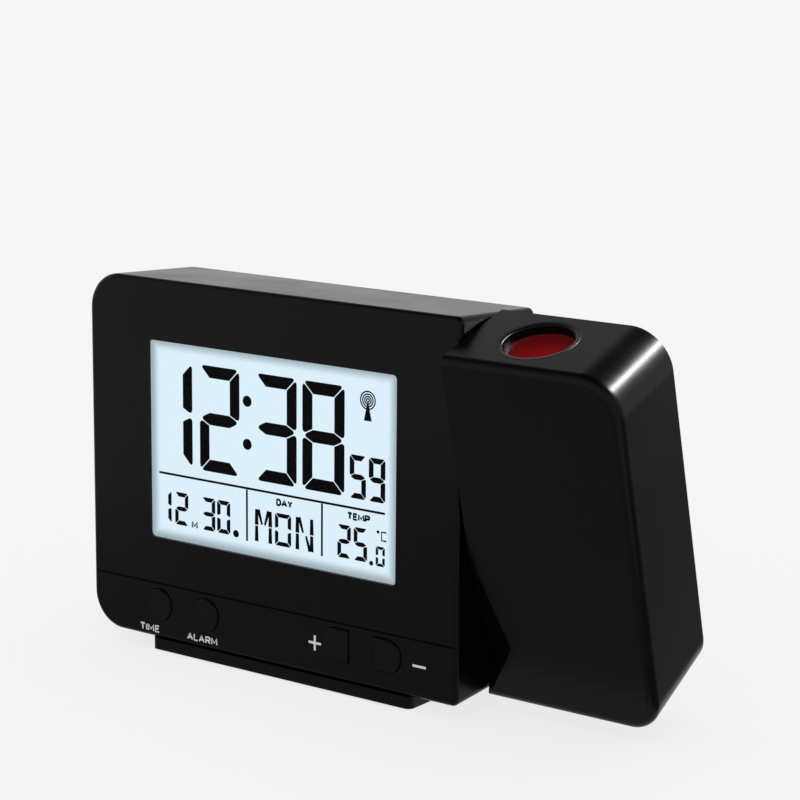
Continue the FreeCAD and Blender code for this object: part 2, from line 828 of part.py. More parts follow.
washer = bar(hub_radius + washer_width, (washer_x0, 0, pivot_z), (washer_x1, 0, pivot_z), many_sides)
washer_hole = bar(hub_radius + running_fit, (washer_x0, 0, pivot_z), (washer_x1, 0, pivot_z), many_sides)
save_in_head("friction_washer", washer.cut(washer_hole))
clip = bar(hub_radius - clip_depth + clip_width, (clip_x0, 0, pivot_z), (clip_x1, 0, pivot_z), many_sides)
clip_mouth = block(clip_x0, clip_x1, -clip_mouth_width / 2, clip_mouth_width / 2, pivot_z,
                   pivot_z + hub_radius + clip_width)
save_in_head("retaining_clip", clip.cut(groove_core).cut(clip_mouth))

# Projector head, drawn upright: shell, side cover and screws

head_z0 = floor + head_floor
head_z1 = head_z0 + head_height


def head_form(inset):
    """The head's form, drawn in by inset on every side but the left one.

    The top rises to the back, the floor rises more, and the right side leans in to the back and up.
    """
    ends = []
    for y in (front + inset, head_back - inset):
        share = (y - front) / head_depth
        low = head_z0 + head_floor_rise * share + inset
        high = head_z1 + head_top_rise * share - inset
        sides = []
        for z in (low, high):
            width = head_width_floor - (head_width_floor - head_width_top) * (z - head_z0) / head_height
            sides.append(head_left + width - head_side_draft * share - inset)
        ends.append([Vector(head_left, y, low), Vector(sides[0], y, low),
                     Vector(sides[1], y, high), Vector(head_left, y, high)])
    return six_sided(ends, (0, head_floor_corner - inset, head_top_corner - inset, 0))


def facet(inset):
    """The three-cornered thumb bevel at the lower front corner by the case, as the solid it takes off."""
    y = front + inset
    high = Vector(head_left, y, floor + facet_top)
    side = Vector(head_left + facet_side, y, floor + facet_side_height)
    low = Vector(head_left, y, floor + facet_low)
    deep = Vector(head_left, y + facet_depth, floor + facet_deep_height)
    faces = [
        Part.Face(Part.makePolygon(list(loop) + [loop[0]]))
        for loop in ((high, side, low), (high, deep, side), (side, deep, low), (low, deep, high))
    ]
    return Part.makeSolid(Part.makeShell(faces))


head_outer = head_form(0)


def off_the_left(p):
    return p.x > head_left + 0.01


head_outer = head_outer.makeFillet(head_front_round, edges_where(
    head_outer, lambda p: abs(p.y - front) < 0.01 and off_the_left(p)))
head_outer = head_outer.makeChamfer(head_back_bevel, edges_where(
    head_outer, lambda p: abs(p.y - head_back) < 0.01 and off_the_left(p)))
head_room = head_form(head_wall).cut(facet(head_wall))
lens_x = head_left + lens_place
lens_y = front + lens_depth
head_shell = head_outer.cut(facet(0)).cut(head_room)
head_posts = [
    (front + head_wall + head_post_wall_gap, top - head_post_front_drop),
    (head_back - head_wall - head_post_wall_gap, top - head_post_back_drop),
    (head_back - head_wall - head_post_wall_gap, floor + head_post_low_height),
]
shell_parts = [head_shell]
for y, z in head_posts:
    post = bar(head_post_radius, (flange_x0, y, z), (flange_x0 + head_post_length, y, z))
    wall_y = front + head_wall / 2 if y < 0 else head_back - head_wall / 2
    web = block(flange_x0, flange_x0 + head_post_length, min(y, wall_y), max(y, wall_y),
                z - rib_thick / 2, z + rib_thick / 2)
    shell_parts.append(post.common(head_room))
    shell_parts.append(web)
bore_top = head_z1 + head_top_rise + 1
lens_bore = rod(bore_radius, (lens_x, lens_y, head_z1 - 2 * head_wall), (lens_x, lens_y, bore_top))
rise = head_top_rise / head_depth
rim_centre = Vector(lens_x, lens_y, head_z1 + rise * lens_depth)
rim_way = Vector(0, -rise, 1).normalize()
rim = Part.makeCone(bore_radius - bore_rim, bore_radius + 2 * bore_rim, 3 * bore_rim_depth,
                    rim_centre - rim_way * (2 * bore_rim_depth), rim_way)
shell_holes = [lens_bore, rim]
for y, z in head_posts:
    shell_holes.append(bar(small_screw_radius, (flange_x0, y, z), (flange_x0 + small_screw_length, y, z)))
save_in_head("head_shell", cut_all(fused(shell_parts), shell_holes))

cover_slab = block(head_left, flange_x0, front, head_back, head_z0, head_z1 + head_top_rise)
side_cover = head_form(head_wall + loose_fit / 2).common(cover_slab).cut(facet(head_wall + loose_fit / 2))
side_cover = side_cover.cut(bar(hub_radius + running_fit, (head_left, 0, pivot_z), (flange_x0, 0, pivot_z),
                                many_sides))
for y, z in hub_screw_spots:
    side_cover = side_cover.cut(bar(hub_screw_radius, (head_left + seat_gap, y, z), (flange_x0, y, z)))
screws = []
for y, z in head_posts:
    head_x1 = head_left + seat_gap + small_screw_head
    side_cover = side_cover.cut(bar(small_screw_head_radius + loose_fit / 2, (head_left, y, z), (head_x1, y, z)))
    side_cover = side_cover.cut(bar(small_screw_radius, (head_x1, y, z), (flange_x0, y, z)))
    head = bar(small_screw_head_radius, (head_left + seat_gap, y, z), (head_x1, y, z))
    shank = bar(small_screw_radius, (head_x1, y, z), (flange_x0 + small_screw_length, y, z))
    screws.append(fused([head, shank]))
save_in_head("head_side_cover", side_cover)
save_in_head("head_screws", Part.makeCompound(screws))

# Projector optics, along the head's upright lens axis

focus_top = head_z1 + rise * lens_depth - focus_recess
focus_floor = focus_top - focus_height
barrel_floor = head_z1 - barrel_length
shoulder = focus_floor - seat_gap
barrel = bar(bore_radius + barrel_wall, (lens_x, lens_y, barrel_floor), (lens_x, lens_y, head_z1 + head_top_rise),
             many_sides)
barrel = barrel.common(head_room)
barrel = barrel.cut(bar(bore_radius, (lens_x, lens_y, shoulder), (lens_x, lens_y, bore_top), many_sides))
barrel = barrel.cut(bar(throat_radius, (lens_x, lens_y, barrel_floor), (lens_x, lens_y, shoulder), many_sides))
image_z0 = barrel_floor + image_height
image = block(lens_x - image_width / 2, lens_x + image_width / 2, lens_y - image_depth / 2,
              lens_y + image_depth / 2, image_z0, image_z0 + image_thick)
save_in_head("lens_barrel", barrel.cut(image))
save_in_head("image_panel", image)


def lens_form(radius, z0, thick, edge):
    """A lens: a disc whose two faces fall away from a flat middle to a thinner edge."""
    fall = (thick - edge) / 2
    z1 = z0 + thick
    return fused([
        bar(radius, (lens_x, lens_y, z0 + fall), (lens_x, lens_y, z1 - fall), many_sides),
        taper(radius, lens_middle, (lens_x, lens_y, z1 - fall), (lens_x, lens_y, z1), many_sides),
        taper(lens_middle, radius, (lens_x, lens_y, z0), (lens_x, lens_y, z0 + fall), many_sides),
    ])


focus_radius = bore_radius - focus_fit
focus_bore = focus_radius - focus_wall
ring = rod(focus_radius, (lens_x, lens_y, focus_floor), (lens_x, lens_y, focus_top))
ring = ring.cut(bar(focus_bore, (lens_x, lens_y, focus_floor), (lens_x, lens_y, focus_top), many_sides))
grip_wire = ring_wire([focus_bore, focus_bore + grip_notch] * grip_count,
                      Vector(lens_x, lens_y, focus_top - grip_length), Vector(0, 0, 1))
save_in_head("focus_ring", ring.cut(Part.Face(grip_wire).extrude(Vector(0, 0, grip_length))))
save_in_head("projection_lens", lens_form(focus_bore, focus_top - lens_drop - lens_thick, lens_thick, lens_edge))
save_in_head("condenser_lens", lens_form(throat_radius, barrel_floor + condenser_height,
                                         condenser_thick, condenser_edge))
led_shoulder = (lens_x, lens_y, barrel_floor + led_height)
save_in_head("led", fused([
    bar(led_radius, (lens_x, lens_y, barrel_floor), led_shoulder, many_sides),
    taper(led_radius, led_tip, led_shoulder, (lens_x, lens_y, barrel_floor + led_height + led_dome), many_sides),
]))
board_y0 = lens_y - led_board_depth / 2
save_in_head("led_board", block(lens_x - led_board_left, lens_x + led_board_right, board_y0,
                                board_y0 + led_board_depth, barrel_floor - led_board_thick, barrel_floor))

# Cable through the hollow pivot, on the pivot axis so that it only twists

cable_start = board_x1 + seat_gap
bend_x = lens_x - bore_radius - barrel_wall - cable_radius - seat_gap - cable_bend
turn = cable_bend * (1 - math.sqrt(0.5))
path = Part.Wire([
    Part.LineSegment(Vector(cable_start, 0, pivot_z), Vector(bend_x, 0, pivot_z)).toShape(),
    Part.Arc(Vector(bend_x, 0, pivot_z), Vector(bend_x + cable_bend - turn, 0, pivot_z - turn),
             Vector(bend_x + cable_bend, 0, pivot_z - cable_bend)).toShape(),
    Part.LineSegment(Vector(bend_x + cable_bend, 0, pivot_z - cable_bend),
                     Vector(bend_x + cable_bend, 0, barrel_floor)).toShape(),
])
section = ring_wire([cable_radius] * few_sides, Vector(cable_start, 0, pivot_z), Vector(1, 0, 0))
save_in_head("head_cable", path.makePipeShell([section], True, True))
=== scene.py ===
# %% [markdown]
# # A projection alarm clock, dressed in Blender
#
# The clock's shells, keys, screws and lenses arrive as a fixed frame of solids at their real size.
# This lesson prints the display and the key names, puts smooth round pieces where the frame's have
# flat sides, gives every piece its finish, lights it all and sets the photograph's camera. Everything
# is in metres, +X to the reader's right, +Y away, +Z up, with the origin under the middle of the sole.

# %% Load the frame
import json
import math
import bmesh
import bpy
from mathutils import Matrix, Vector


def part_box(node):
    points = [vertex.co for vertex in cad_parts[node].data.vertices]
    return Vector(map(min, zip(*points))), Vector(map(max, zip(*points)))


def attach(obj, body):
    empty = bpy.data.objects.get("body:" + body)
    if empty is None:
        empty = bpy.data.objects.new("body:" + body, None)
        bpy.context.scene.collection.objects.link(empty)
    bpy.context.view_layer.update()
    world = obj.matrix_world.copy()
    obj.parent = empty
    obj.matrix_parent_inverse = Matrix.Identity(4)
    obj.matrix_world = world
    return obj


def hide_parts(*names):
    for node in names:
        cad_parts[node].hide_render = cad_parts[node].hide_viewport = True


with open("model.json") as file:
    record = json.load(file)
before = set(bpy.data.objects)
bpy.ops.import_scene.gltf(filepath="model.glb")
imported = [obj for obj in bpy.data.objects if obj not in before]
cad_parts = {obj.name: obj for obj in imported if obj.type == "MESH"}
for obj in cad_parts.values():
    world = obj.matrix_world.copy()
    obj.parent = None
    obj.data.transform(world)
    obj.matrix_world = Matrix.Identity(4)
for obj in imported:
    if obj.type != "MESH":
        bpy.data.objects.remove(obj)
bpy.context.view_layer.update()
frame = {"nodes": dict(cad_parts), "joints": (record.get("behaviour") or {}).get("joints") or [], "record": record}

nodes = frame["nodes"]

# %% [markdown]
# ## Places that the later cells share
#
# The display and the panel are laid out from the case's lower left front corner, as a maker's
# drawing would be, so one small helper turns drawing millimetres into the frame's metres.

# %% Drawing places
MM = 0.001
panel_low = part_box("button_panel")[0]
glass_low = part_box("lcd_glass")[0]
case_left = panel_low.x
case_floor = panel_low.z
case_front = panel_low.y


def drawn(x, z, y=case_front):
    """The point x to the right of the case's left side and z above its floor, in millimetres."""
    return Vector((case_left + x * MM, y, case_floor + z * MM))


print("case front at", round(case_front / MM, 2), "mm, left side at", round(case_left / MM, 2), "mm")

# %% [markdown]
# ## Working by hand, in code
#
# An operator works on whatever is selected, so each step starts by selecting exactly what it needs:
# first nothing, then one object, then faces chosen by where they are or which way they point.

# %% Selecting helpers


def select_only(*objects):
    """Selects these objects alone, the last of them active."""
    bpy.ops.object.select_all(action="DESELECT")
    for obj in objects:
        obj.select_set(True)
    bpy.context.view_layer.objects.active = objects[-1]


def edit(obj):
    """Opens an object in edit mode with all of it selected."""
    select_only(obj)
    bpy.ops.object.mode_set(mode="EDIT")
    bpy.ops.mesh.select_all(action="SELECT")


def done():
    bpy.ops.object.mode_set(mode="OBJECT")


def choose(obj, kind, test):
    """In edit mode, selects the faces, edges or vertices whose middle passes the test."""
    bpy.ops.mesh.select_mode(type={"faces": "FACE", "edges": "EDGE", "verts": "VERT"}[kind])
    bpy.ops.mesh.select_all(action="DESELECT")
    mesh = bmesh.from_edit_mesh(obj.data)
    for part in getattr(mesh, kind):
        if kind == "faces":
            middle = part.calc_center_median()
        elif kind == "edges":
            middle = (part.verts[0].co + part.verts[1].co) / 2
        else:
            middle = part.co
        part.select_set(bool(test(middle)))
    mesh.select_flush_mode()
    bmesh.update_edit_mesh(obj.data)


print("selecting helpers ready")

# %% Settling helpers


def settle(obj, name):
    """Moves an object's place into its mesh, so that the finished piece sits at the origin."""
    select_only(obj)
    bpy.ops.object.transform_apply(location=True, rotation=True, scale=True)
    obj.name = name
    obj.data.name = name
    return obj


def joined(objects, name):
    """Makes one settled piece of several."""
    select_only(*objects)
    if len(objects) > 1:
        bpy.ops.object.join()
    return settle(bpy.context.view_layer.objects.active, name)


print("settling helpers ready")

# %% [markdown]
# ## The printed display
#
# A display like this prints its figures as separate bars. They could be drawn one by one, but one
# rectangle gives all seven with their mitres already true. It is cut across the middle, and each half
# is inset by the bar's width, which leaves four mitred bars round each half. The two that meet in the
# middle are made half as wide and joined, and give the pointed middle bar. The bars that aren't lit
# are deleted. The rest are split apart and inset once more to open the pale gaps between them, their
# outer corners are rounded, and the sheet gets a hair of thickness.

# %% Figures made of bars
LIT = {
    "0": "top left_high left_low right_high right_low floor",
    "1": "right_high right_low",
    "2": "top right_high middle left_low floor",
    "3": "top right_high middle right_low floor",
    "5": "top left_high middle right_low floor",
    "8": "top left_high left_low right_high right_low floor middle",
    "9": "top left_high right_high right_low floor middle",
}
print_back = glass_low.y + 0.02 * MM
print_thick = 0.05 * MM
print_shift = (-1.3, -0.45)
central = 0.2
corner_cut = 0.42
hair = 0.01 * MM


def on_glass(x, z):
    """A drawing place on the glass, which lies deeper than the case's front."""
    return drawn(x + print_shift[0], z + print_shift[1], print_back)


print(len(LIT), "digits known")

# %% A plane cut into bars


def upright_plane(width, height):
    """A plane that faces the reader, open in edit mode, its size in metres."""
    bpy.ops.object.select_all(action="DESELECT")
    bpy.ops.mesh.primitive_plane_add(size=1, location=(0, 0, 0), rotation=(math.pi / 2, 0, 0))
    obj = bpy.context.active_object
    obj.scale = (width, height, 1)
    bpy.ops.object.transform_apply(location=False, rotation=True, scale=True)
    edit(obj)
    return obj


def cut_into_bars(obj, w, h, thick):
    """Turns a plane of w by h into seven mitred bars, all sizes in metres."""
    bpy.ops.mesh.bisect(plane_co=(0, 0, 0), plane_no=(0, 0, 1))
    bpy.ops.mesh.select_all(action="SELECT")
    bpy.ops.mesh.select_mode(type="FACE")
    bpy.ops.mesh.inset(thickness=thick, depth=0, use_individual=True)
    for side in (-1, 1):
        choose(obj, "verts", lambda p: abs(p.z - side * thick) < hair)
        bpy.ops.transform.translate(value=(0, 0, -side * thick / 2))
    choose(obj, "faces", lambda p: abs(p.x) < w * central and abs(abs(p.z) - h / 4) < h * central / 2)
    bpy.ops.mesh.delete(type="FACE")
    choose(obj, "edges", lambda p: abs(p.z) < hair and abs(p.x) < w * central)
    bpy.ops.mesh.dissolve_edges()


def thicken():
    """In edit mode, gives a flat print its hair of thickness, towards the reader."""
    bpy.ops.mesh.select_all(action="SELECT")
    bpy.ops.mesh.extrude_region_move(TRANSFORM_OT_translate={"value": (0, -print_thick, 0)})
    bpy.ops.mesh.select_all(action="SELECT")
    bpy.ops.mesh.normals_make_consistent(inside=False)


print("a print is", print_thick / MM, "mm thick")

# %% The bars that are lit


def bar_name(middle, width, height):
    """Which bar of a figure a face is, from where its middle lies."""
    across, up = middle.x / width, middle.z / height
    if abs(across) < central:
        return "middle" if abs(up) < central else ("top" if up > 0 else "floor")
    return ("right" if across > 0 else "left") + ("_high" if up > 0 else "_low")


def part_bars(obj, w, h, stroke, gap):
    """Splits the bars, opens the gaps between them and rounds the figure's corners."""
    bpy.ops.mesh.select_all(action="SELECT")
    bpy.ops.mesh.edge_split(type="EDGE")
    bpy.ops.mesh.select_mode(type="FACE")
    bpy.ops.mesh.select_all(action="SELECT")
    bpy.ops.mesh.inset(thickness=gap / 2 * MM, depth=0, use_individual=True)
    bpy.ops.mesh.select_all(action="INVERT")
    bpy.ops.mesh.delete(type="FACE")
    near = 1.5 * gap * MM
    choose(obj, "verts", lambda p: abs(p.x) > w / 2 - near and (abs(p.z) > h / 2 - near or abs(p.z) < near))
    bpy.ops.mesh.bevel(affect="VERTICES", offset=stroke * corner_cut * MM, segments=4)


def figure(digit, left, low, width, height, stroke, gap):
    """One figure, its cell's lower left corner and sizes in drawing millimetres."""
    w, h = width * MM, height * MM
    obj = upright_plane(w, h)
    cut_into_bars(obj, w, h, stroke * MM)
    lit = LIT[digit].split()
    choose(obj, "faces", lambda p: bar_name(p, w, h) not in lit)
    bpy.ops.mesh.delete(type="FACE")
    part_bars(obj, w, h, stroke, gap)
    thicken()
    bpy.ops.transform.translate(value=on_glass(left + width / 2, low + height / 2))
    done()
    return obj


def figures(text, left, low, width, pitch, height, stroke, gap):
    """A row of figures, whose cells start pitch apart."""
    return [figure(digit, left + place * pitch, low, width, height, stroke, gap)
            for place, digit in enumerate(text)]


print("an 8 lights", len(LIT["8"].split()), "bars")

# %% The display's figures
hours = figures("12", left=17.9, low=39.5, width=11.2, pitch=13.1, height=23.3, stroke=2.85, gap=0.22)
minutes = figures("38", left=46.4, low=39.5, width=11.2, pitch=12.5, height=23.3, stroke=2.85, gap=0.22)
seconds = figures("59", left=71.3, low=39.5, width=4.3, pitch=4.9, height=9.3, stroke=1.3, gap=0.12)
date = figures("12", left=19.0, low=26.4, width=3.9, pitch=4.8, height=7.4, stroke=1.1, gap=0.14)
date += figures("30", left=31.5, low=26.4, width=3.8, pitch=4.2, height=7.4, stroke=1.1, gap=0.14)
warmth = figures("25", left=68.2, low=26.4, width=3.6, pitch=4.2, height=7.2, stroke=1.1, gap=0.14)
warmth += figures("0", left=78.1, low=26.1, width=2.4, pitch=2.6, height=4.3, stroke=0.72, gap=0.1)
print(len(hours + minutes + seconds + date + warmth), "figures")

# %% [markdown]
# The day is spelled with the same kind of bars, with slanting ones for the M and the N. The colon's
# dots, the points and the ruled lines are small plates. A short helper makes any straight bar between
# two points, and a disc gives the dots.

# %% Bars and discs
disc_sides = 40


def bar(x0, z0, x1, z1, thick, taper=1.0):
    """A straight printed bar between two drawing points, its far end narrowed by taper."""
    start, end = on_glass(x0, z0), on_glass(x1, z1)
    along = end - start
    obj = upright_plane(thick * MM, along.length)
    choose(obj, "verts", lambda p: p.z > 0)
    bpy.ops.transform.resize(value=(taper, 1, 1))
    thicken()
    done()
    obj.rotation_euler = (0, math.atan2(along.x, along.z), 0)
    obj.location = (start + end) / 2
    return obj


def disc(x, z, radius, inner=0.0):
    """A printed dot, or a ring if inner is more than nothing."""
    bpy.ops.object.select_all(action="DESELECT")
    bpy.ops.mesh.primitive_circle_add(vertices=disc_sides, radius=radius * MM, fill_type="NGON",
                                      rotation=(math.pi / 2, 0, 0))
    obj = bpy.context.active_object
    bpy.ops.object.transform_apply(location=False, rotation=True, scale=True)
    edit(obj)
    if inner > 0:
        bpy.ops.mesh.inset(thickness=(radius - inner) * MM, depth=0)
        bpy.ops.mesh.delete(type="FACE")
    thicken()
    done()
    obj.location = on_glass(x, z)
    return obj


print("a disc has", disc_sides, "sides")

# %% Letters of the day
day_floor, day_top = 26.2, 33.4
day_half = (day_floor + day_top) / 2
post_thick, post_taper = 1.0, 0.8
arm_thick, arm_taper = 0.85, 0.6
arm_start, arm_end, arm_reach = 0.95, 0.3, 0.42
end_gap = 0.1


def uprights(x, width):
    """The four posts at a letter's two sides, each side split at half height."""
    return [bar(place, low + end_gap, place, high - end_gap, post_thick, post_taper)
            for place in (x + post_thick / 2, x + width - post_thick / 2)
            for low, high in ((day_floor, day_half), (day_half, day_top))]


def arm(side, inward, width, outer, inner):
    """A slanting bar from a letter's side towards its middle, inward being 1 or -1."""
    start, end = side + inward * arm_start, side + inward * width * arm_reach
    return bar(start, outer, end, inner, arm_thick, arm_taper)


def letter_m(x, width):
    """Two arms that slant down from the top corners."""
    top, half = day_top - end_gap, day_half + arm_end
    posts = uprights(x, width)
    return posts + [arm(x, 1, width, top, half), arm(x + width, -1, width, top, half)]


def letter_n(x, width):
    """One arm down from the top left corner and one up from the lower right."""
    top, high_half = day_top - end_gap, day_half + arm_end
    floor, low_half = day_floor + end_gap, day_half - arm_end
    posts = uprights(x, width)
    return posts + [arm(x, 1, width, top, high_half), arm(x + width, -1, width, floor, low_half)]


day = letter_m(46.2, width=4.7) + letter_n(57.2, width=4.8)
day += figures("0", left=51.6, low=day_floor, width=4.5, pitch=5, height=day_top - day_floor,
               stroke=1.05, gap=0.14)

print(len(day), "day bars")

# %% Dots and ruled lines
# The colon's two dots, the date's point and the temperature's point, each as x, z and radius.
dot_places = [(44.2, 56.3, 1.2), (44.2, 47.0, 1.2), (41.0, 27.0, 0.8), (77.0, 26.5, 0.5)]
dots = [disc(x, z, radius) for x, z, radius in dot_places]

rule_thick = 0.5
rule_left, rule_right, rule_height = 19.4, 80.4, 37.45
divider_places = (44.05, 64.2)
divider_floor, divider_top = 25.9, 37.15
lines = [bar(rule_left, rule_height, rule_right, rule_height, rule_thick)]
lines += [bar(x, divider_floor, x, divider_top, rule_thick) for x in divider_places]
print(len(dots), "dots,", len(lines), "lines")

# %% [markdown]
# ## Small words
#
# The words are too small for bars, so each letter is a few lines of points on a unit square. A font
# would do too, but lines keep the lettering plain and evenly thick. A line's points are extruded one
# by one, become a curve whose round bevel thickens it, and then a mesh that is flattened to a hair.

# %% Letter shapes
STROKES = {
    "A": [[(0, 0), (0.5, 1), (1, 0)], [(0.2, 0.34), (0.8, 0.34)]],
    "C": [[(1, 1), (0, 1), (0, 0), (1, 0)]],
    "D": [[(0, 0), (0, 1), (0.6, 1), (1, 0.7), (1, 0.3), (0.6, 0), (0, 0)]],
    "E": [[(1, 1), (0, 1), (0, 0), (1, 0)], [(0, 0.52), (0.85, 0.52)]],
    "I": [[(0, 0), (0, 1)]],
    "L": [[(0, 1), (0, 0), (1, 0)]],
    "M": [[(0, 0), (0, 1), (0.5, 0.25), (1, 1), (1, 0)]],
    "P": [[(0, 0), (0, 1), (0.7, 1), (1, 0.86), (1, 0.6), (0.7, 0.46), (0, 0.46)]],
    "R": [[(0, 0), (0, 1), (0.7, 1), (1, 0.86), (1, 0.6), (0.7, 0.46), (0, 0.46)], [(0.55, 0.46), (1, 0)]],
    "T": [[(0, 1), (1, 1)], [(0.5, 1), (0.5, 0)]],
    "Y": [[(0, 1), (0.5, 0.45), (1, 1)], [(0.5, 0.45), (0.5, 0)]],
}
LETTER_WIDTHS = {"I": 0.0, "L": 0.62, "E": 0.66, "T": 0.76, "C": 0.66, "M": 0.95, "A": 0.9}
plain_width = 0.76
letter_gap = 0.36
print(len(STROKES), "letters")

# %% From strokes to words
track_steps = 2


def stroke(points, radius, flat):
    """A line of points grown into a thin raised track: its corners extruded one by one."""
    bpy.ops.object.select_all(action="DESELECT")
    bpy.ops.mesh.primitive_plane_add(size=1, location=(0, 0, 0))
    obj = bpy.context.active_object
    edit(obj)
    bpy.ops.mesh.merge(type="CENTER")
    bpy.ops.transform.translate(value=points[0])
    for start, end in zip(points, points[1:]):
        bpy.ops.mesh.extrude_vertices_move(TRANSFORM_OT_translate={"value": end - start})
    done()
    select_only(obj)
    bpy.ops.object.convert(target="CURVE")
    obj = bpy.context.active_object
    obj.data.dimensions = "3D"
    obj.data.bevel_depth = radius * MM
    obj.data.bevel_resolution = track_steps
    obj.data.use_fill_caps = True
    bpy.ops.object.convert(target="MESH")
    obj = bpy.context.active_object
    edit(obj)
    bpy.ops.transform.resize(value=(1, flat / (2 * radius * MM), 1), center_override=points[0])
    done()
    return obj


def word(text, middle, width, height, radius, flat, name):
    """Plain capitals as raised strokes, fitted to a width and centred on a point of the frame."""
    spans = [LETTER_WIDTHS.get(letter, plain_width) for letter in text]
    unit = (width - 2 * radius) * MM / (sum(spans) + letter_gap * (len(text) - 1))
    rise = (height - 2 * radius) * MM
    left = middle.x - (width / 2 - radius) * MM
    made = []
    for letter, span in zip(text, spans):
        for line in STROKES[letter]:
            depth = middle.y - flat / 2
            points = [Vector((left + x * span * unit, depth, middle.z + (z - 0.5) * rise)) for x, z in line]
            made.append(stroke(points, radius, flat))
        left += (span + letter_gap) * unit
    return joined(made, name)


print("a track's round has", track_steps, "extra steps a quarter")

# %% [markdown]
# The radio sign is a mast with rings round its tip. Each ring is a printed disc with its middle
# taken out, and the mast is one bar that narrows upwards. The degree sign is a dot. With the words
# made, the whole print is joined, because on the real glass it is one layer.

# %% Radio sign, words and the finished print
mast_place, mast_floor, mast_top = 75.9, 56.2, 60.0
mast_thick, mast_taper = 2.0, 0.12
ring_height, ring_thick = 60.5, 0.3
ring_radii = (2.0, 1.45, 0.95, 0.5)
radio = [disc(mast_place, ring_height, outer, outer - ring_thick) for outer in ring_radii]
radio.append(bar(mast_place, mast_floor, mast_place, mast_top, mast_thick, mast_taper))
degree_sign = disc(78.7, 33.4, radius=0.36)

# Each word's text, the x and z of its middle, its width, height, stroke radius and name.
display_words = [
    ("DAY", 54.2, 35.65, 4.5, 1.7, 0.26, "day_word"),
    ("TEMP", 73.7, 35.65, 6.0, 1.7, 0.26, "temp_word"),
    ("M", 29.4, 27.1, 1.8, 1.75, 0.25, "month_word"),
    ("C", 80.2, 32.6, 1.6, 2.2, 0.19, "degree_word"),
]
words = [word(text, on_glass(x, z), width, height, radius, print_thick, name)
         for text, x, z, width, height, radius, name in display_words]
every_figure = hours + minutes + seconds + date + warmth + day
printed = joined(every_figure + dots + lines + radio + [degree_sign] + words, "display_print")
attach(printed, "case")
print("display print:", len(printed.data.polygons), "faces")

# %% [markdown]
# ## The words and signs on the button panel
#
# The key names are white print on the panel, so they are the same thin raised lettering. The plus
# and minus signs are bars from the display's helper, moved to the panel's face. The plus is one long
# bar and two stubs, because bars that crossed would share a face and flicker.

# %% Panel print
panel_print_thick = 0.04 * MM
panel_words = [
    ("TIME", 16.5, 1.95, 5.7, 1.7, 0.19, "time_word"),
    ("ALARM", 31.6, 2.1, 8.6, 1.7, 0.19, "alarm_word"),
]
key_words = [word(text, drawn(x, z), width, height, radius, panel_print_thick, name)
             for text, x, z, width, height, radius, name in panel_words]
sign_height, sign_half, sign_thick = 7.0, 1.65, 0.52
plus_middle, minus_middle = 62.55, 89.4
sign_lines = [
    (plus_middle - sign_half, sign_height, plus_middle + sign_half, sign_height),
    (plus_middle, sign_height + sign_thick / 2, plus_middle, sign_height + sign_half),
    (plus_middle, sign_height - sign_half, plus_middle, sign_height - sign_thick / 2),
    (minus_middle - sign_half, sign_height, minus_middle + sign_half, sign_height),
]
signs = []
for x0, z0, x1, z1 in sign_lines:
    sign = bar(x0, z0, x1, z1, sign_thick)
    sign.location.x -= print_shift[0] * MM
    sign.location.z -= print_shift[1] * MM
    sign.location.y = case_front + print_thick - panel_print_thick
    signs.append(sign)
panel_print = joined(key_words + signs, "panel_print")
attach(panel_print, "case")
print("panel print:", len(panel_print.data.polygons), "faces")

# %% [markdown]
# ## Turned pieces
#
# A lens, a lip, a round key and a screw are all turned shapes. One is made as on a lathe: a circle is
# extruded and resized from station to station along its axis, and the two ends are filled, or
# bridged to each other where the piece is a ring. Then it is tilted onto its axis.

# %% The lathe
smooth_angle = math.radians(35)


def turned(stations, place, axis, name, ring=False, sides=64):
    """A round piece from (radius, height) stations in millimetres, standing at place along axis."""
    radius, height = stations[0]
    bpy.ops.object.select_all(action="DESELECT")
    bpy.ops.mesh.primitive_circle_add(vertices=sides, radius=radius * MM, location=(0, 0, height * MM))
    obj = bpy.context.active_object
    bpy.ops.object.transform_apply(location=True, rotation=False, scale=False)
    edit(obj)
    for wider, higher in stations[1:]:
        bpy.ops.mesh.extrude_edges_move(TRANSFORM_OT_translate={"value": (0, 0, (higher - height) * MM)})
        bpy.ops.transform.resize(value=(wider / radius, wider / radius, 1), center_override=(0, 0, 0))
        radius, height = wider, higher
    bpy.ops.mesh.select_all(action="SELECT")
    bpy.ops.mesh.select_mode(type="EDGE")
    bpy.ops.mesh.select_all(action="DESELECT")
    bpy.ops.mesh.select_non_manifold()
    if ring:
        bpy.ops.mesh.bridge_edge_loops()
    else:
        bpy.ops.mesh.fill_holes(sides=0)
    bpy.ops.mesh.select_all(action="SELECT")
    bpy.ops.mesh.normals_make_consistent(inside=False)
    done()
    obj.rotation_euler = Vector(axis).to_track_quat("Z", "X").to_euler()
    obj.location = place
    settle(obj, name)
    bpy.ops.object.shade_smooth_by_angle(angle=smooth_angle)
    return obj


def copied(obj, move, name):
    """A copy with its own mesh, moved in the mesh."""
    select_only(obj)
    bpy.ops.object.duplicate(linked=False)
    obj = bpy.context.active_object
    obj.location = move
    return settle(obj, name)


print("lathe ready")

# %% [markdown]
# The opening over the lens has a thin lip with a rounded inner edge, which catches the light as a
# fine line. It sits in the opening's bevel. The lens below it is a glass disc, bulged on both sides,
# and it stands for the plain one of the frame. Both lie on the axis that the focus ring turns on.

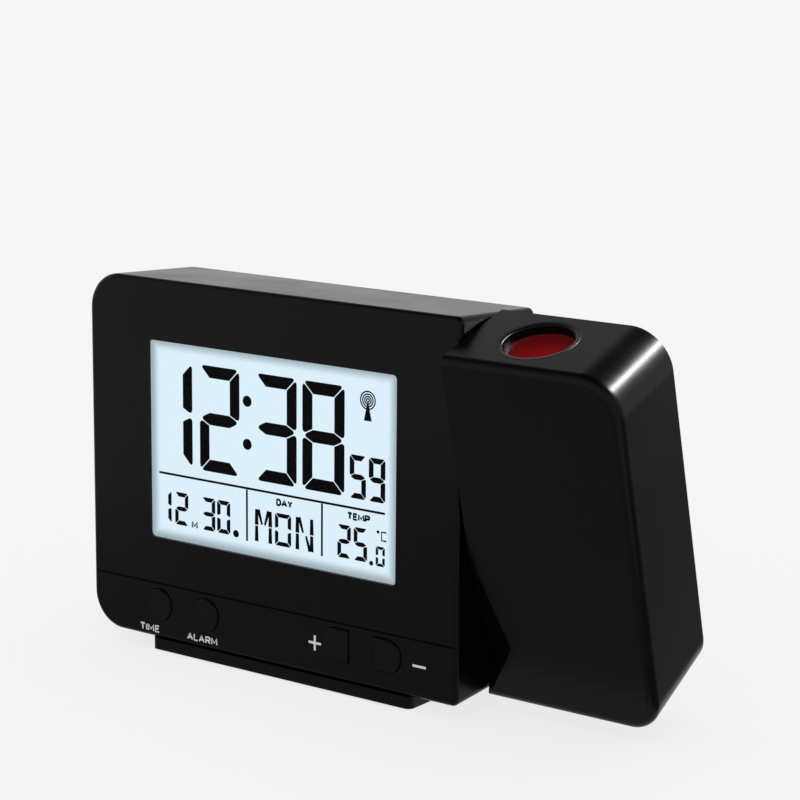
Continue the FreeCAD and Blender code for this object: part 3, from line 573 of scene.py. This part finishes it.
# %% Lip
focus = next(joint for joint in frame["joints"] if joint["name"] == "focus_turn")
lens_axis = Vector(focus["axis"]).normalized()
lens_base = Vector(focus["pos_m"])
rim_height, rim_rise = 34.87, -0.0598
rim_middle = lens_base + lens_axis * rim_height * MM
rim_way = (lens_axis + Vector((0, rim_rise, 0))).normalized()
lip_stations = [(8.32, -0.1), (8.22, 0.0), (7.62, 0.0), (7.42, -0.06), (7.28, -0.2), (7.22, -0.38),
                (7.22, -0.66)]
lip = turned(lip_stations, rim_middle, rim_way, "bore_lip", ring=True, sides=96)
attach(lip, "projector_head")
print("lip:", len(lip.data.polygons), "faces")

# %% Lens
lens_radius, lens_middle = 6.0, 27.25
edge_half, bulge_rise = 0.1, 1.8
top_half = []
for degrees in range(0, 81, 10):
    slope = math.radians(degrees)
    height = lens_middle + edge_half + math.sin(slope) * bulge_rise
    top_half.append((math.cos(slope) * lens_radius, height))
low_half = [(radius, 2 * lens_middle - height) for radius, height in reversed(top_half)]
lens = turned(low_half + top_half, lens_base, lens_axis, "projector_lens_glass")
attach(lens, "focus_ring")
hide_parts("projection_lens")

# %% [markdown]
# The three keys on the back are round, slightly dished and softly edged, and each has a flange that
# holds it behind the cover. One is turned, and the others are copies at their own places.

# %% Rear keys
REAR_KEYS = ("rear_key_lower", "rear_key_middle", "rear_key_upper")
cover_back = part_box("rear_cover")[1].y
key_low, key_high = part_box("rear_key_lower")
key_front = (key_low.y - cover_back) / MM
key_back = (key_high.y - cover_back) / MM
first_key = Vector(((key_low.x + key_high.x) / 2, cover_back, (key_low.z + key_high.z) / 2))
stem_radius, flange_radius, key_radius = 1.5, 3.0, 2.45
flange_front, flange_back = -3.45, -2.5

# The first five stations are the stem and the flange, and the rest round the edge and dish the top.
key_stations = [(stem_radius, key_front), (stem_radius, flange_front), (flange_radius, flange_front),
                (flange_radius, flange_back), (key_radius, flange_back), (key_radius, key_back - 0.35),
                (2.4, key_back - 0.15), (2.25, key_back - 0.03), (2.05, key_back), (1.8, key_back - 0.04),
                (1.0, key_back - 0.16), (0.3, key_back - 0.2)]
rear_key = turned(key_stations, first_key, (0, 1, 0), "rear_key_lower_cap", sides=48)
for node in REAR_KEYS:
    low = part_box(node)[0]
    cap = rear_key if node == REAR_KEYS[0] else copied(rear_key, low - key_low, node + "_cap")
    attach(cap, node)
    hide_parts(node)

# %% [markdown]
# The cover's four screws have low domed heads with a cross for the driver. The cross is cut with a
# Boolean modifier by one wedge and then another across it, and the finished screw is copied.

# %% Case screws
screws_low, screws_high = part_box("case_screws")
head_radius, shank_radius, head_depth = 1.98, 1.0, 1.2
blade_length, blade_depth, blade_thick = 2.3, 1.6, 0.45
blade_start, blade_taper = 0.1, (0.35, 1, 0.6)
blade_turns = (20, 110)
screw_back = (screws_high.y - screws_low.y) / MM
head_floor = screw_back - head_depth
screw_stations = [(0.2, 0.0), (shank_radius, 1.4), (shank_radius, head_floor), (head_radius, head_floor),
                  (head_radius, screw_back - 0.35), (1.8, screw_back - 0.12), (1.3, screw_back),
                  (0.3, screw_back)]
corner = Vector((screws_low.x + head_radius * MM, screws_low.y, screws_low.z + head_radius * MM))
screw = turned(screw_stations, corner, (0, 1, 0), "case_screw_first", sides=32)
print("plain screw:", len(screw.data.polygons), "faces")

# %% Crosses and copies


def driver_blade(turn):
    """A wedge over the screw's head, turned about the screw's axis."""
    bpy.ops.object.select_all(action="DESELECT")
    bpy.ops.mesh.primitive_cube_add(size=1, location=(0, 0, 0))
    blade = bpy.context.active_object
    edit(blade)
    bpy.ops.transform.resize(value=(blade_length * MM, blade_depth * MM, blade_thick * MM))
    choose(blade, "faces", lambda p: p.y < -blade_depth / 4 * MM)
    bpy.ops.transform.resize(value=blade_taper)
    done()
    blade.rotation_euler = (0, turn, 0)
    blade.location = (corner.x, screws_high.y + blade_start * MM, corner.z)
    return settle(blade, "driver_blade")


for degrees in blade_turns:
    blade = driver_blade(math.radians(degrees))
    select_only(screw)
    cut = screw.modifiers.new("cross", "BOOLEAN")
    cut.operation = "DIFFERENCE"
    cut.solver = "EXACT"
    cut.object = blade
    bpy.ops.object.modifier_apply(modifier=cut.name)
    select_only(blade)
    bpy.ops.object.delete()
across = screws_high.x - screws_low.x - 2 * head_radius * MM
upward = screws_high.z - screws_low.z - 2 * head_radius * MM
screws = [screw]
for move in ((across, 0, 0), (0, 0, upward), (across, 0, upward)):
    screws.append(copied(screw, move, "case_screw_copy"))
case_screws = joined(screws, "cross_head_screws")
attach(case_screws, "case")
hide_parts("case_screws")
print("screws:", len(case_screws.data.polygons), "faces")

# %% [markdown]
# The battery door opens on two AAA cells. The frame's cells have flat sides, which show when the
# door is open, so round ones stand for them: each a can with rolled edges and a button at one end,
# turned on the lathe and laid along X, the second the other way round.

# %% Cells
cells_low, cells_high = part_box("battery_cells")
cell_radius, button_radius, button_depth = 5.2, 1.9, 0.8
axis_inset = 5.16
cell_reach = (cells_high.x - cells_low.x) / MM
can_end = cell_reach - button_depth
can_stations = [(4.4, 0.0), (4.9, 0.1), (cell_radius, 0.5), (cell_radius, can_end - 0.6),
                (4.9, can_end - 0.15), (4.2, can_end), (button_radius, can_end),
                (button_radius, cell_reach - 0.2), (1.6, cell_reach)]
cell_depth = (cells_low.y + cells_high.y) / 2
low_cell = Vector((cells_low.x, cell_depth, cells_low.z + axis_inset * MM))
high_cell = Vector((cells_high.x, cell_depth, cells_high.z - axis_inset * MM))
cells = [turned(can_stations, low_cell, (1, 0, 0), "cell_low"),
         turned(can_stations, high_cell, (-1, 0, 0), "cell_high")]
cell_pair = joined(cells, "round_cells")
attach(cell_pair, "case")
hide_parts("battery_cells")
print("cells", round(cell_reach, 1), "mm long")

# %% [markdown]
# ## Finishes
#
# Moulded black plastic is never one flat colour: a fine spark-eroded grain breaks up its gloss, and
# handling leaves it slightly uneven. That effect serves many pieces, so it is one node group that
# gives a roughness and a normal. The Principled shader stays in each material.

# %% Grain group


def socket(group, name, kind, way, value=None):
    """One named input or output of a node group."""
    made = group.interface.new_socket(name=name, in_out=way, socket_type="NodeSocket" + kind)
    if value is not None:
        made.default_value = value
    return made


def grain_group():
    group = bpy.data.node_groups.new("moulded_grain", "ShaderNodeTree")
    socket(group, "Grain Size", "Float", "INPUT", 4000.0)
    socket(group, "Grain Depth", "Float", "INPUT", 0.1)
    socket(group, "Low Roughness", "Float", "INPUT", 0.3)
    socket(group, "High Roughness", "Float", "INPUT", 0.4)
    socket(group, "Roughness", "Float", "OUTPUT")
    socket(group, "Normal", "Vector", "OUTPUT")
    socket(group, "Cloud", "Float", "OUTPUT")
    new, link = group.nodes.new, group.links.new
    inside, outside = new("NodeGroupInput"), new("NodeGroupOutput")
    place = new("ShaderNodeTexCoord")
    fine = new("ShaderNodeTexNoise")
    fine.inputs["Detail"].default_value = 2.0
    cloud = new("ShaderNodeTexNoise")
    cloud.inputs["Scale"].default_value = 60.0
    cloud.inputs["Detail"].default_value = 4.0
    spread = new("ShaderNodeMapRange")
    spread.inputs["From Min"].default_value = 0.3
    spread.inputs["From Max"].default_value = 0.7
    bump = new("ShaderNodeBump")
    bump.inputs["Distance"].default_value = 0.00002
    link(place.outputs["Object"], fine.inputs["Vector"])
    link(place.outputs["Object"], cloud.inputs["Vector"])
    link(inside.outputs["Grain Size"], fine.inputs["Scale"])
    link(inside.outputs["Grain Depth"], bump.inputs["Strength"])
    link(fine.outputs["Fac"], bump.inputs["Height"])
    link(cloud.outputs["Fac"], spread.inputs["Value"])
    link(inside.outputs["Low Roughness"], spread.inputs["To Min"])
    link(inside.outputs["High Roughness"], spread.inputs["To Max"])
    link(spread.outputs["Result"], outside.inputs["Roughness"])
    link(bump.outputs["Normal"], outside.inputs["Normal"])
    link(cloud.outputs["Fac"], outside.inputs["Cloud"])
    return group


grain = grain_group()
print("grain group:", [s.name for s in grain.interface.items_tree])

# %% [markdown]
# ## Materials
#
# `plastic` builds any moulded or metal finish: a colour that varies a little between two tones, the
# grain group for roughness and bump, and plain values on the shader's own sockets for the rest. The
# case's low IOR keeps its gloss weak, as on the real satin black, where a plain 1.45 looks wet.

# %% Material helpers


def shade(level):
    """A tone as its linear value, from the 0 to 255 value it is seen at."""
    seen = level / 255
    return seen / 12.92 if seen <= 0.04045 else ((seen + 0.055) / 1.055) ** 2.4


def colour(red, green, blue):
    return (shade(red), shade(green), shade(blue), 1.0)


def new_material(name):
    """A material and its Principled shader."""
    material = bpy.data.materials.new(name)
    material.use_nodes = True
    return material, material.node_tree.nodes["Principled BSDF"]


def plastic(name, dark, light, rough, grain_size, grain_depth, metallic=0.0, ior=1.45):
    """A moulded or metal finish that varies between two tones and two roughnesses."""
    material, shader = new_material(name)
    tree = material.node_tree
    group = tree.nodes.new("ShaderNodeGroup")
    group.node_tree = grain
    group.inputs["Grain Size"].default_value = grain_size
    group.inputs["Grain Depth"].default_value = grain_depth
    group.inputs["Low Roughness"].default_value = rough[0]
    group.inputs["High Roughness"].default_value = rough[1]
    tones = tree.nodes.new("ShaderNodeMix")
    tones.data_type = "RGBA"
    tones.inputs["A"].default_value = dark
    tones.inputs["B"].default_value = light
    tree.links.new(group.outputs["Cloud"], tones.inputs["Factor"])
    tree.links.new(tones.outputs["Result"], shader.inputs["Base Color"])
    tree.links.new(group.outputs["Roughness"], shader.inputs["Roughness"])
    tree.links.new(group.outputs["Normal"], shader.inputs["Normal"])
    shader.inputs["Metallic"].default_value = metallic
    shader.inputs["IOR"].default_value = ior
    return material


print("mid grey is", round(shade(128), 3), "as a linear value")

# %% Moulded and metal finishes
case_dark, case_light = colour(4, 4, 4), colour(6, 6, 7)
key_dark, key_light = colour(5, 5, 5), colour(8, 8, 8)

# Each finish's name, dark and light tones, lowest and highest roughness, grain size and grain depth.
finishes = {
    "black_case": plastic("satin_black_case", case_dark, case_light, (0.24, 0.30), 3000, 0.08, ior=1.21),
    "black_key": plastic("satin_black_key", key_dark, key_light, (0.28, 0.34), 3000, 0.1, ior=1.21),
    "rubber_sole": plastic("sole_rubber", colour(22, 22, 22), colour(34, 34, 33), (0.75, 0.9), 1500, 0.5),
    "white_frame": plastic("white_moulding", colour(225, 225, 220), colour(240, 240, 236), (0.4, 0.5),
                           2000, 0.1),
    "rubber_contact": plastic("contact_rubber", colour(120, 122, 118), colour(160, 160, 150), (0.6, 0.7),
                              2500, 0.2),
    "circuit_board": plastic("green_board", colour(14, 70, 36), colour(20, 92, 48), (0.3, 0.45), 900, 0.2),
    "switch_plastic": plastic("black_nylon", colour(20, 20, 20), colour(30, 30, 30), (0.45, 0.55),
                              1800, 0.25),
    "zinc_screw": plastic("zinc_plate", colour(150, 150, 146), colour(190, 190, 188), (0.25, 0.4), 900, 0.2,
                          metallic=1.0),
    "cell_can": plastic("cell_wrap", colour(54, 58, 66), colour(72, 76, 84), (0.3, 0.35), 500, 0.1),
    "spring_steel": plastic("nickel_plate", colour(170, 168, 160), colour(205, 203, 196), (0.2, 0.3),
                            900, 0.1, metallic=1.0),
    "speaker_paper": plastic("paper_cone", colour(26, 26, 26), colour(40, 40, 38), (0.8, 0.9), 900, 0.6),
    "ferrite": plastic("grey_ferrite", colour(50, 50, 52), colour(70, 70, 72), (0.5, 0.65), 700, 0.4),
    "copper_coil": plastic("enamelled_copper", colour(150, 78, 40), colour(190, 104, 60), (0.25, 0.35),
                           4000, 0.6, metallic=1.0),
    "bush_plastic": plastic("acetal", colour(24, 24, 24), colour(32, 32, 32), (0.35, 0.45), 1800, 0.1),
    # The barrel's black is given a painted red glow by the lens, in the cell on painted red light.
    "black_barrel": plastic("barrel_black", colour(7, 7, 7), colour(10, 10, 10), (0.35, 0.5), 2200, 0.2,
                            ior=1.35),
    "cable_jacket": plastic("cable_jacket", colour(18, 18, 18), colour(26, 26, 26), (0.55, 0.65),
                            1500, 0.2),
}
print(len(finishes), "moulded and metal finishes")

# %% [markdown]
# The lit display is the brightest thing on the clock. Light comes through a guide behind the glass,
# so it is even in the middle and falls off softly to grey at the window's edges: an emission whose
# colour is mixed by the distance to the nearest edge. The red of the LED under the lens is painted:
# the lens has a painted red glow for the LED's light through it, and the black walls round it have a
# painted red glow for the LED's light on them, which fades with height.

# %% Distance to the window's edge
corner_softness = 0.25


def edge_distance(tree, low, high, fade):
    """0 at the rectangle's edges and 1 from fade inwards, on object X and Z."""
    place = tree.nodes.new("ShaderNodeTexCoord")
    apart = tree.nodes.new("ShaderNodeSeparateXYZ")
    tree.links.new(place.outputs["Object"], apart.inputs["Vector"])
    nearest = None
    for axis, lowest, highest in (("X", low.x, high.x), ("Z", low.z, high.z)):
        for edge, way in ((lowest, 1.0), (highest, -1.0)):
            inward = tree.nodes.new("ShaderNodeMath")
            inward.operation = "MULTIPLY_ADD"
            inward.inputs[1].default_value = way / fade
            inward.inputs[2].default_value = -way * edge / fade
            tree.links.new(apart.outputs[axis], inward.inputs[0])
            if nearest is None:
                nearest = inward
                continue
            smaller = tree.nodes.new("ShaderNodeMath")
            smaller.operation = "SMOOTH_MIN"
            smaller.inputs[2].default_value = corner_softness
            tree.links.new(nearest.outputs["Value"], smaller.inputs[0])
            tree.links.new(inward.outputs["Value"], smaller.inputs[1])
            nearest = smaller
    return nearest.outputs["Value"]


print("edge distance ready")

# %% Lit display
display_tone = colour(221, 241, 252)
display_edge = colour(160, 176, 184)
display_level = 0.97
window_left, window_right = 16.2, 81.9
window_floor, window_top = 22.6, 66.3
window_fade = 2.5


def lit_display():
    """The glow of the display's glass, even in the middle and grey at the window's edges."""
    material, shader = new_material("lit_display")
    tree = material.node_tree
    low, high = drawn(window_left, window_floor), drawn(window_right, window_top)
    share = edge_distance(tree, low, high, window_fade * MM)
    ramp = tree.nodes.new("ShaderNodeValToRGB")
    ramp.color_ramp.interpolation = "EASE"
    ramp.color_ramp.elements[0].color = display_edge
    ramp.color_ramp.elements[0].position = 0.0
    ramp.color_ramp.elements[1].color = display_tone
    ramp.color_ramp.elements[1].position = 1.0
    tree.links.new(share, ramp.inputs["Fac"])
    tree.links.new(ramp.outputs["Color"], shader.inputs["Emission Color"])
    shader.inputs["Emission Strength"].default_value = display_level
    shader.inputs["Base Color"].default_value = colour(40, 44, 46)
    shader.inputs["Roughness"].default_value = 0.5
    shader.inputs["IOR"].default_value = 1.1
    return material


finishes["display_glass"] = lit_display()
print("display fades over", window_fade, "mm")

# %% Clear and glowing finishes


def clear(name, tint, ior):
    """Glass or clear plastic."""
    material, shader = new_material(name)
    shader.inputs["Base Color"].default_value = tint
    shader.inputs["Roughness"].default_value = 0.03
    shader.inputs["IOR"].default_value = ior
    shader.inputs["Transmission Weight"].default_value = 1.0
    shader.inputs["Alpha"].default_value = 1.0
    return material


def glowing(name, tint, strength):
    """A piece that gives light of its own colour."""
    material, shader = new_material(name)
    shader.inputs["Base Color"].default_value = tint
    shader.inputs["Emission Color"].default_value = tint
    shader.inputs["Emission Strength"].default_value = strength
    shader.inputs["Roughness"].default_value = 0.2
    return material


finishes["clear_window"] = clear("clear_window", (1, 1, 1, 1), ior=1.06)
finishes["lens_glass"] = clear("lens_glass", (1.0, 0.8, 0.8, 1), ior=1.45)
finishes["light_guide"] = glowing("lit_guide", display_tone, strength=0.6)
finishes["red_led"] = glowing("red_led", colour(230, 20, 16), strength=6.0)
print(len(finishes), "finishes")

# %% Painted red light in the head
glow_floor, glow_end = 29.0, 34.5
# Painted light: the wall's painted red glow and the lens's painted red glow, both standing in for the LED's light.
painted_wall_red, painted_lens_red = colour(116, 12, 14), colour(190, 18, 20)
painted_lens_glow = 0.35


def paint_red_glow(material):
    """Painted red glow for the LED's light on the black walls by the lens, strongest beside the glass and gone at
    the rim.
    """
    tree = material.node_tree
    shader = tree.nodes["Principled BSDF"]
    place = tree.nodes.new("ShaderNodeTexCoord")
    from_base = tree.nodes.new("ShaderNodeVectorMath")
    from_base.operation = "SUBTRACT"
    from_base.inputs[1].default_value = lens_base
    along = tree.nodes.new("ShaderNodeVectorMath")
    along.operation = "DOT_PRODUCT"
    along.inputs[1].default_value = lens_axis
    fade = tree.nodes.new("ShaderNodeMapRange")
    fade.inputs["From Min"].default_value = glow_floor * MM
    fade.inputs["From Max"].default_value = glow_end * MM
    fade.inputs["To Min"].default_value = 1.0
    fade.inputs["To Max"].default_value = 0.0
    tint = tree.nodes.new("ShaderNodeMix")
    tint.data_type = "RGBA"
    tint.inputs["A"].default_value = (0, 0, 0, 1)
    tint.inputs["B"].default_value = painted_wall_red
    tree.links.new(place.outputs["Object"], from_base.inputs[0])
    tree.links.new(from_base.outputs["Vector"], along.inputs[0])
    tree.links.new(along.outputs["Value"], fade.inputs["Value"])
    tree.links.new(fade.outputs["Result"], tint.inputs["Factor"])
    tree.links.new(tint.outputs["Result"], shader.inputs["Emission Color"])
    shader.inputs["Emission Strength"].default_value = 1.0


# The lens's emission is a painted red glow for the LED's light through it, and the barrel gets its painted glow on
# the walls.
lens_shader = finishes["lens_glass"].node_tree.nodes["Principled BSDF"]
lens_shader.inputs["Emission Color"].default_value = painted_lens_red
lens_shader.inputs["Emission Strength"].default_value = painted_lens_glow
paint_red_glow(finishes["black_barrel"])
print("red fades out", glow_end, "mm above the head's lens base")

# %% Inks
ink_black = plastic("display_ink", colour(6, 6, 7), colour(9, 9, 10), (0.5, 0.6), 2000, 0.05, ior=1.1)
ink_white = plastic("panel_ink", colour(225, 225, 225), colour(240, 240, 240), (0.5, 0.6), 2000, 0.1)
print("two inks")

# %% [markdown]
# The record of the frame names a finish for each solid, so one loop dresses them all. The pieces
# made here are dressed one by one, and the image panel is dark, because it lets through little light.

# %% Give every piece its finish


def wear(obj, material):
    """Gives a piece one material in place of any it had."""
    obj.data.materials.clear()
    obj.data.materials.append(material)


for part in frame["record"]["subparts"]:
    wear(nodes[part["node"]], finishes[part["material_slot"]])
wear(nodes["image_panel"], finishes["switch_plastic"])
wear(printed, ink_black)
wear(panel_print, ink_white)
wear(lip, finishes["black_case"])
wear(lens, finishes["lens_glass"])
wear(cell_pair, finishes["cell_can"])
wear(case_screws, finishes["zinc_screw"])
for node in REAR_KEYS:
    wear(bpy.data.objects[node + "_cap"], finishes["black_key"])
print("every piece has a finish")

# %% [markdown]
# ## Floor, light and camera
#
# The clock stands on a wide pale floor. Most of what the camera sees of the floor is a glow of one
# tone, so that it meets the background without a line, and the rest is plain diffuse white, which
# keeps the clock's soft shadow. The light that falls on the clock sees the diffuse floor alone.

# %% What each ray sees
backdrop_tone = colour(246, 246, 246)


def seen_directly(tree):
    """1 for rays from the camera, off gloss and through glass, and 0 for the light that falls."""
    path = tree.nodes.new("ShaderNodeLightPath")
    first = tree.nodes.new("ShaderNodeMath")
    first.operation = "MAXIMUM"
    second = tree.nodes.new("ShaderNodeMath")
    second.operation = "MAXIMUM"
    tree.links.new(path.outputs["Is Camera Ray"], first.inputs[0])
    tree.links.new(path.outputs["Is Glossy Ray"], first.inputs[1])
    tree.links.new(first.outputs["Value"], second.inputs[0])
    tree.links.new(path.outputs["Is Transmission Ray"], second.inputs[1])
    return second.outputs["Value"]


print("backdrop's linear value", round(backdrop_tone[0], 3))

# %% Floor
glow_level, glow_part = 1.06, 0.8
floor_size, floor_drop = 8.0, 0.2
bpy.ops.object.select_all(action="DESELECT")
bpy.ops.mesh.primitive_plane_add(size=floor_size, location=(0, 0, -floor_drop * MM))
floor = bpy.context.active_object
floor.name = "floor"
floor_material, shader = new_material("pale_floor")
tree = floor_material.node_tree
shader.inputs["Base Color"].default_value = backdrop_tone
shader.inputs["Roughness"].default_value = 0.9
shader.inputs["Specular IOR Level"].default_value = 0.0
floor_glow = tree.nodes.new("ShaderNodeEmission")
floor_glow.inputs["Color"].default_value = backdrop_tone
floor_glow.inputs["Strength"].default_value = glow_level
glow_share = tree.nodes.new("ShaderNodeMath")
glow_share.operation = "MULTIPLY"
glow_share.inputs[1].default_value = glow_part
floor_mix = tree.nodes.new("ShaderNodeMixShader")
tree.links.new(seen_directly(tree), glow_share.inputs[0])
tree.links.new(glow_share.outputs["Value"], floor_mix.inputs["Fac"])
tree.links.new(shader.outputs["BSDF"], floor_mix.inputs[1])
tree.links.new(floor_glow.outputs["Emission"], floor_mix.inputs[2])
tree.links.new(floor_mix.outputs["Shader"], tree.nodes["Material Output"].inputs["Surface"])
wear(floor, floor_material)
print("floor", floor.dimensions.x, "m wide")

# %% [markdown]
# The world does two jobs. As a light it is one plain level from all round. To the camera, and in
# gloss and glass, it is pale at the sides and dims overhead, because a black object shows mostly
# what it mirrors, and the dim ceiling gives the rounded top edges their dark bands.

# %% World
ceiling_start, ceiling_middle, ceiling_end = 0.4, 0.65, 0.8
ceiling_tone, ceiling_dim = colour(190, 190, 190), colour(60, 60, 60)
world_level = 0.75


def make_world():
    """One background for the light that falls and one for what is seen."""
    world = bpy.data.worlds.new("studio")
    bpy.context.scene.world = world
    world.use_nodes = True
    tree = world.node_tree
    tree.nodes.clear()
    output = tree.nodes.new("ShaderNodeOutputWorld")
    seen = tree.nodes.new("ShaderNodeBackground")
    direction = tree.nodes.new("ShaderNodeTexCoord")
    apart = tree.nodes.new("ShaderNodeSeparateXYZ")
    ceiling = tree.nodes.new("ShaderNodeValToRGB")
    steps = ceiling.color_ramp.elements
    steps[0].position, steps[0].color = ceiling_start, backdrop_tone
    steps[1].position, steps[1].color = ceiling_end, ceiling_dim
    middle = steps.new(ceiling_middle)
    middle.color = ceiling_tone
    tree.links.new(direction.outputs["Generated"], apart.inputs["Vector"])
    tree.links.new(apart.outputs["Z"], ceiling.inputs["Fac"])
    tree.links.new(ceiling.outputs["Color"], seen.inputs["Color"])
    lighting = tree.nodes.new("ShaderNodeBackground")
    lighting.inputs["Color"].default_value = (1, 1, 1, 1)
    lighting.inputs["Strength"].default_value = world_level
    mix = tree.nodes.new("ShaderNodeMixShader")
    tree.links.new(seen_directly(tree), mix.inputs["Fac"])
    tree.links.new(lighting.outputs["Background"], mix.inputs[1])
    tree.links.new(seen.outputs["Background"], mix.inputs[2])
    tree.links.new(mix.outputs["Shader"], output.inputs["Surface"])


make_world()
print("world lights at", world_level)

# %% [markdown]
# One long strip lamp, behind and above on the right, makes the bright streak along the projector
# head's rounded corner. Its direction is worked out backwards, by mirroring the line of sight in the
# corner. It gives gloss only, no diffuse light, and light linking keeps it to the head.

# %% Lamp


def area_light(name, target, direction, distance, across, size, power):
    """A strip lamp seen from target along direction, its short side lying along across."""
    away = Vector(direction).normalized()
    short = (Vector(across) - away * away.dot(Vector(across))).normalized()
    bpy.ops.object.select_all(action="DESELECT")
    bpy.ops.object.light_add(type="AREA", location=Vector(target) + away * distance)
    lamp = bpy.context.active_object
    lamp.name = name
    lamp.data.shape = "RECTANGLE"
    lamp.data.size, lamp.data.size_y = size
    lamp.data.energy = power
    lamp.rotation_euler = Matrix((short, away.cross(short), away)).transposed().to_euler()
    lamp.visible_diffuse = False
    return lamp


head_corner = Vector((80, 0, 78)) * MM
strip_way, strip_across = (0.425, 0.645, 0.635), (0.73, 0.18, -0.66)
strip = area_light("top_right_strip", head_corner, strip_way, distance=1.0, across=strip_across,
                   size=(0.1, 0.9), power=35.0)
lit_by_strip = bpy.data.collections.new("lit_by_strip")
for node in ("head_shell", "lens_barrel", "focus_ring"):
    lit_by_strip.objects.link(nodes[node])
lit_by_strip.objects.link(lip)
strip.light_linking.receiver_collection = lit_by_strip

# %% [markdown]
# A photographer tames a black object's reflections with grey cards. Two lie on the floor, seen by
# reflections only. One in front darkens the low end of the front, and one to the right and behind
# darkens the right side.

# %% Cards
card_height = 0.1


def card(name, low, high, tone):
    """A flat card just above the floor, from one corner to the other, in millimetres."""
    bpy.ops.object.select_all(action="DESELECT")
    bpy.ops.mesh.primitive_plane_add(size=1.0, location=(0, 0, 0))
    obj = bpy.context.active_object
    obj.name = name
    obj.scale = ((high[0] - low[0]) * MM, (high[1] - low[1]) * MM, 1)
    obj.location = ((low[0] + high[0]) / 2 * MM, (low[1] + high[1]) / 2 * MM, card_height * MM)
    material, shader = new_material(name)
    shader.inputs["Base Color"].default_value = (0, 0, 0, 1)
    shader.inputs["Specular IOR Level"].default_value = 0.0
    shader.inputs["Emission Color"].default_value = tone
    shader.inputs["Emission Strength"].default_value = 1.0
    wear(obj, material)
    obj.visible_camera = False
    obj.visible_diffuse = False
    obj.visible_transmission = False
    obj.visible_shadow = False


card("front_card", low=(-120, -210), high=(130, -14), tone=colour(185, 185, 185))
card("side_card", low=(95, -30), high=(450, 550), tone=colour(140, 140, 140))
print("cards", card_height, "mm above the table")

# %% [markdown]
# The camera stands where the photograph was taken from. Its bearing, height, roll, distance and lens
# were fitted to the case's edges, and its axes are set straight into its matrix, because a roll is
# easier to read there than in three angles.

# %% Camera
bearing, height, roll = math.radians(35.87), math.radians(11.48), math.radians(0.51)
aim = Vector((31.9, -13.0, 64.6)) * MM
distance = 492 * MM
image_size = 800
focal_pixels = 2460
sensor = 36.0

level = math.cos(height)
away = Vector((math.sin(bearing) * level, -math.cos(bearing) * level, math.sin(height)))
right = (-away).cross(Vector((0, 0, 1))).normalized()
up = right.cross(-away)
tilted_right = right * math.cos(roll) + up * math.sin(roll)
tilted_up = up * math.cos(roll) - right * math.sin(roll)
bpy.ops.object.camera_add(location=aim + away * distance)
camera = bpy.context.active_object
camera.name = "camera"
matrix = camera.matrix_world.copy()
for column, axis in enumerate((tilted_right, tilted_up, away)):
    for row in range(3):
        matrix[row][column] = axis[row]
camera.matrix_world = matrix
camera.data.sensor_width = sensor
camera.data.lens = sensor * focal_pixels / image_size
camera.data.clip_start = 0.01
bpy.context.scene.camera = camera
bpy.context.scene.view_settings.view_transform = "Standard"
print("camera at", [round(c, 4) for c in camera.location], "lens", round(camera.data.lens, 1))

# %% [markdown]
# Last, nothing is left selected.

# %% The end
bpy.ops.object.select_all(action="DESELECT")
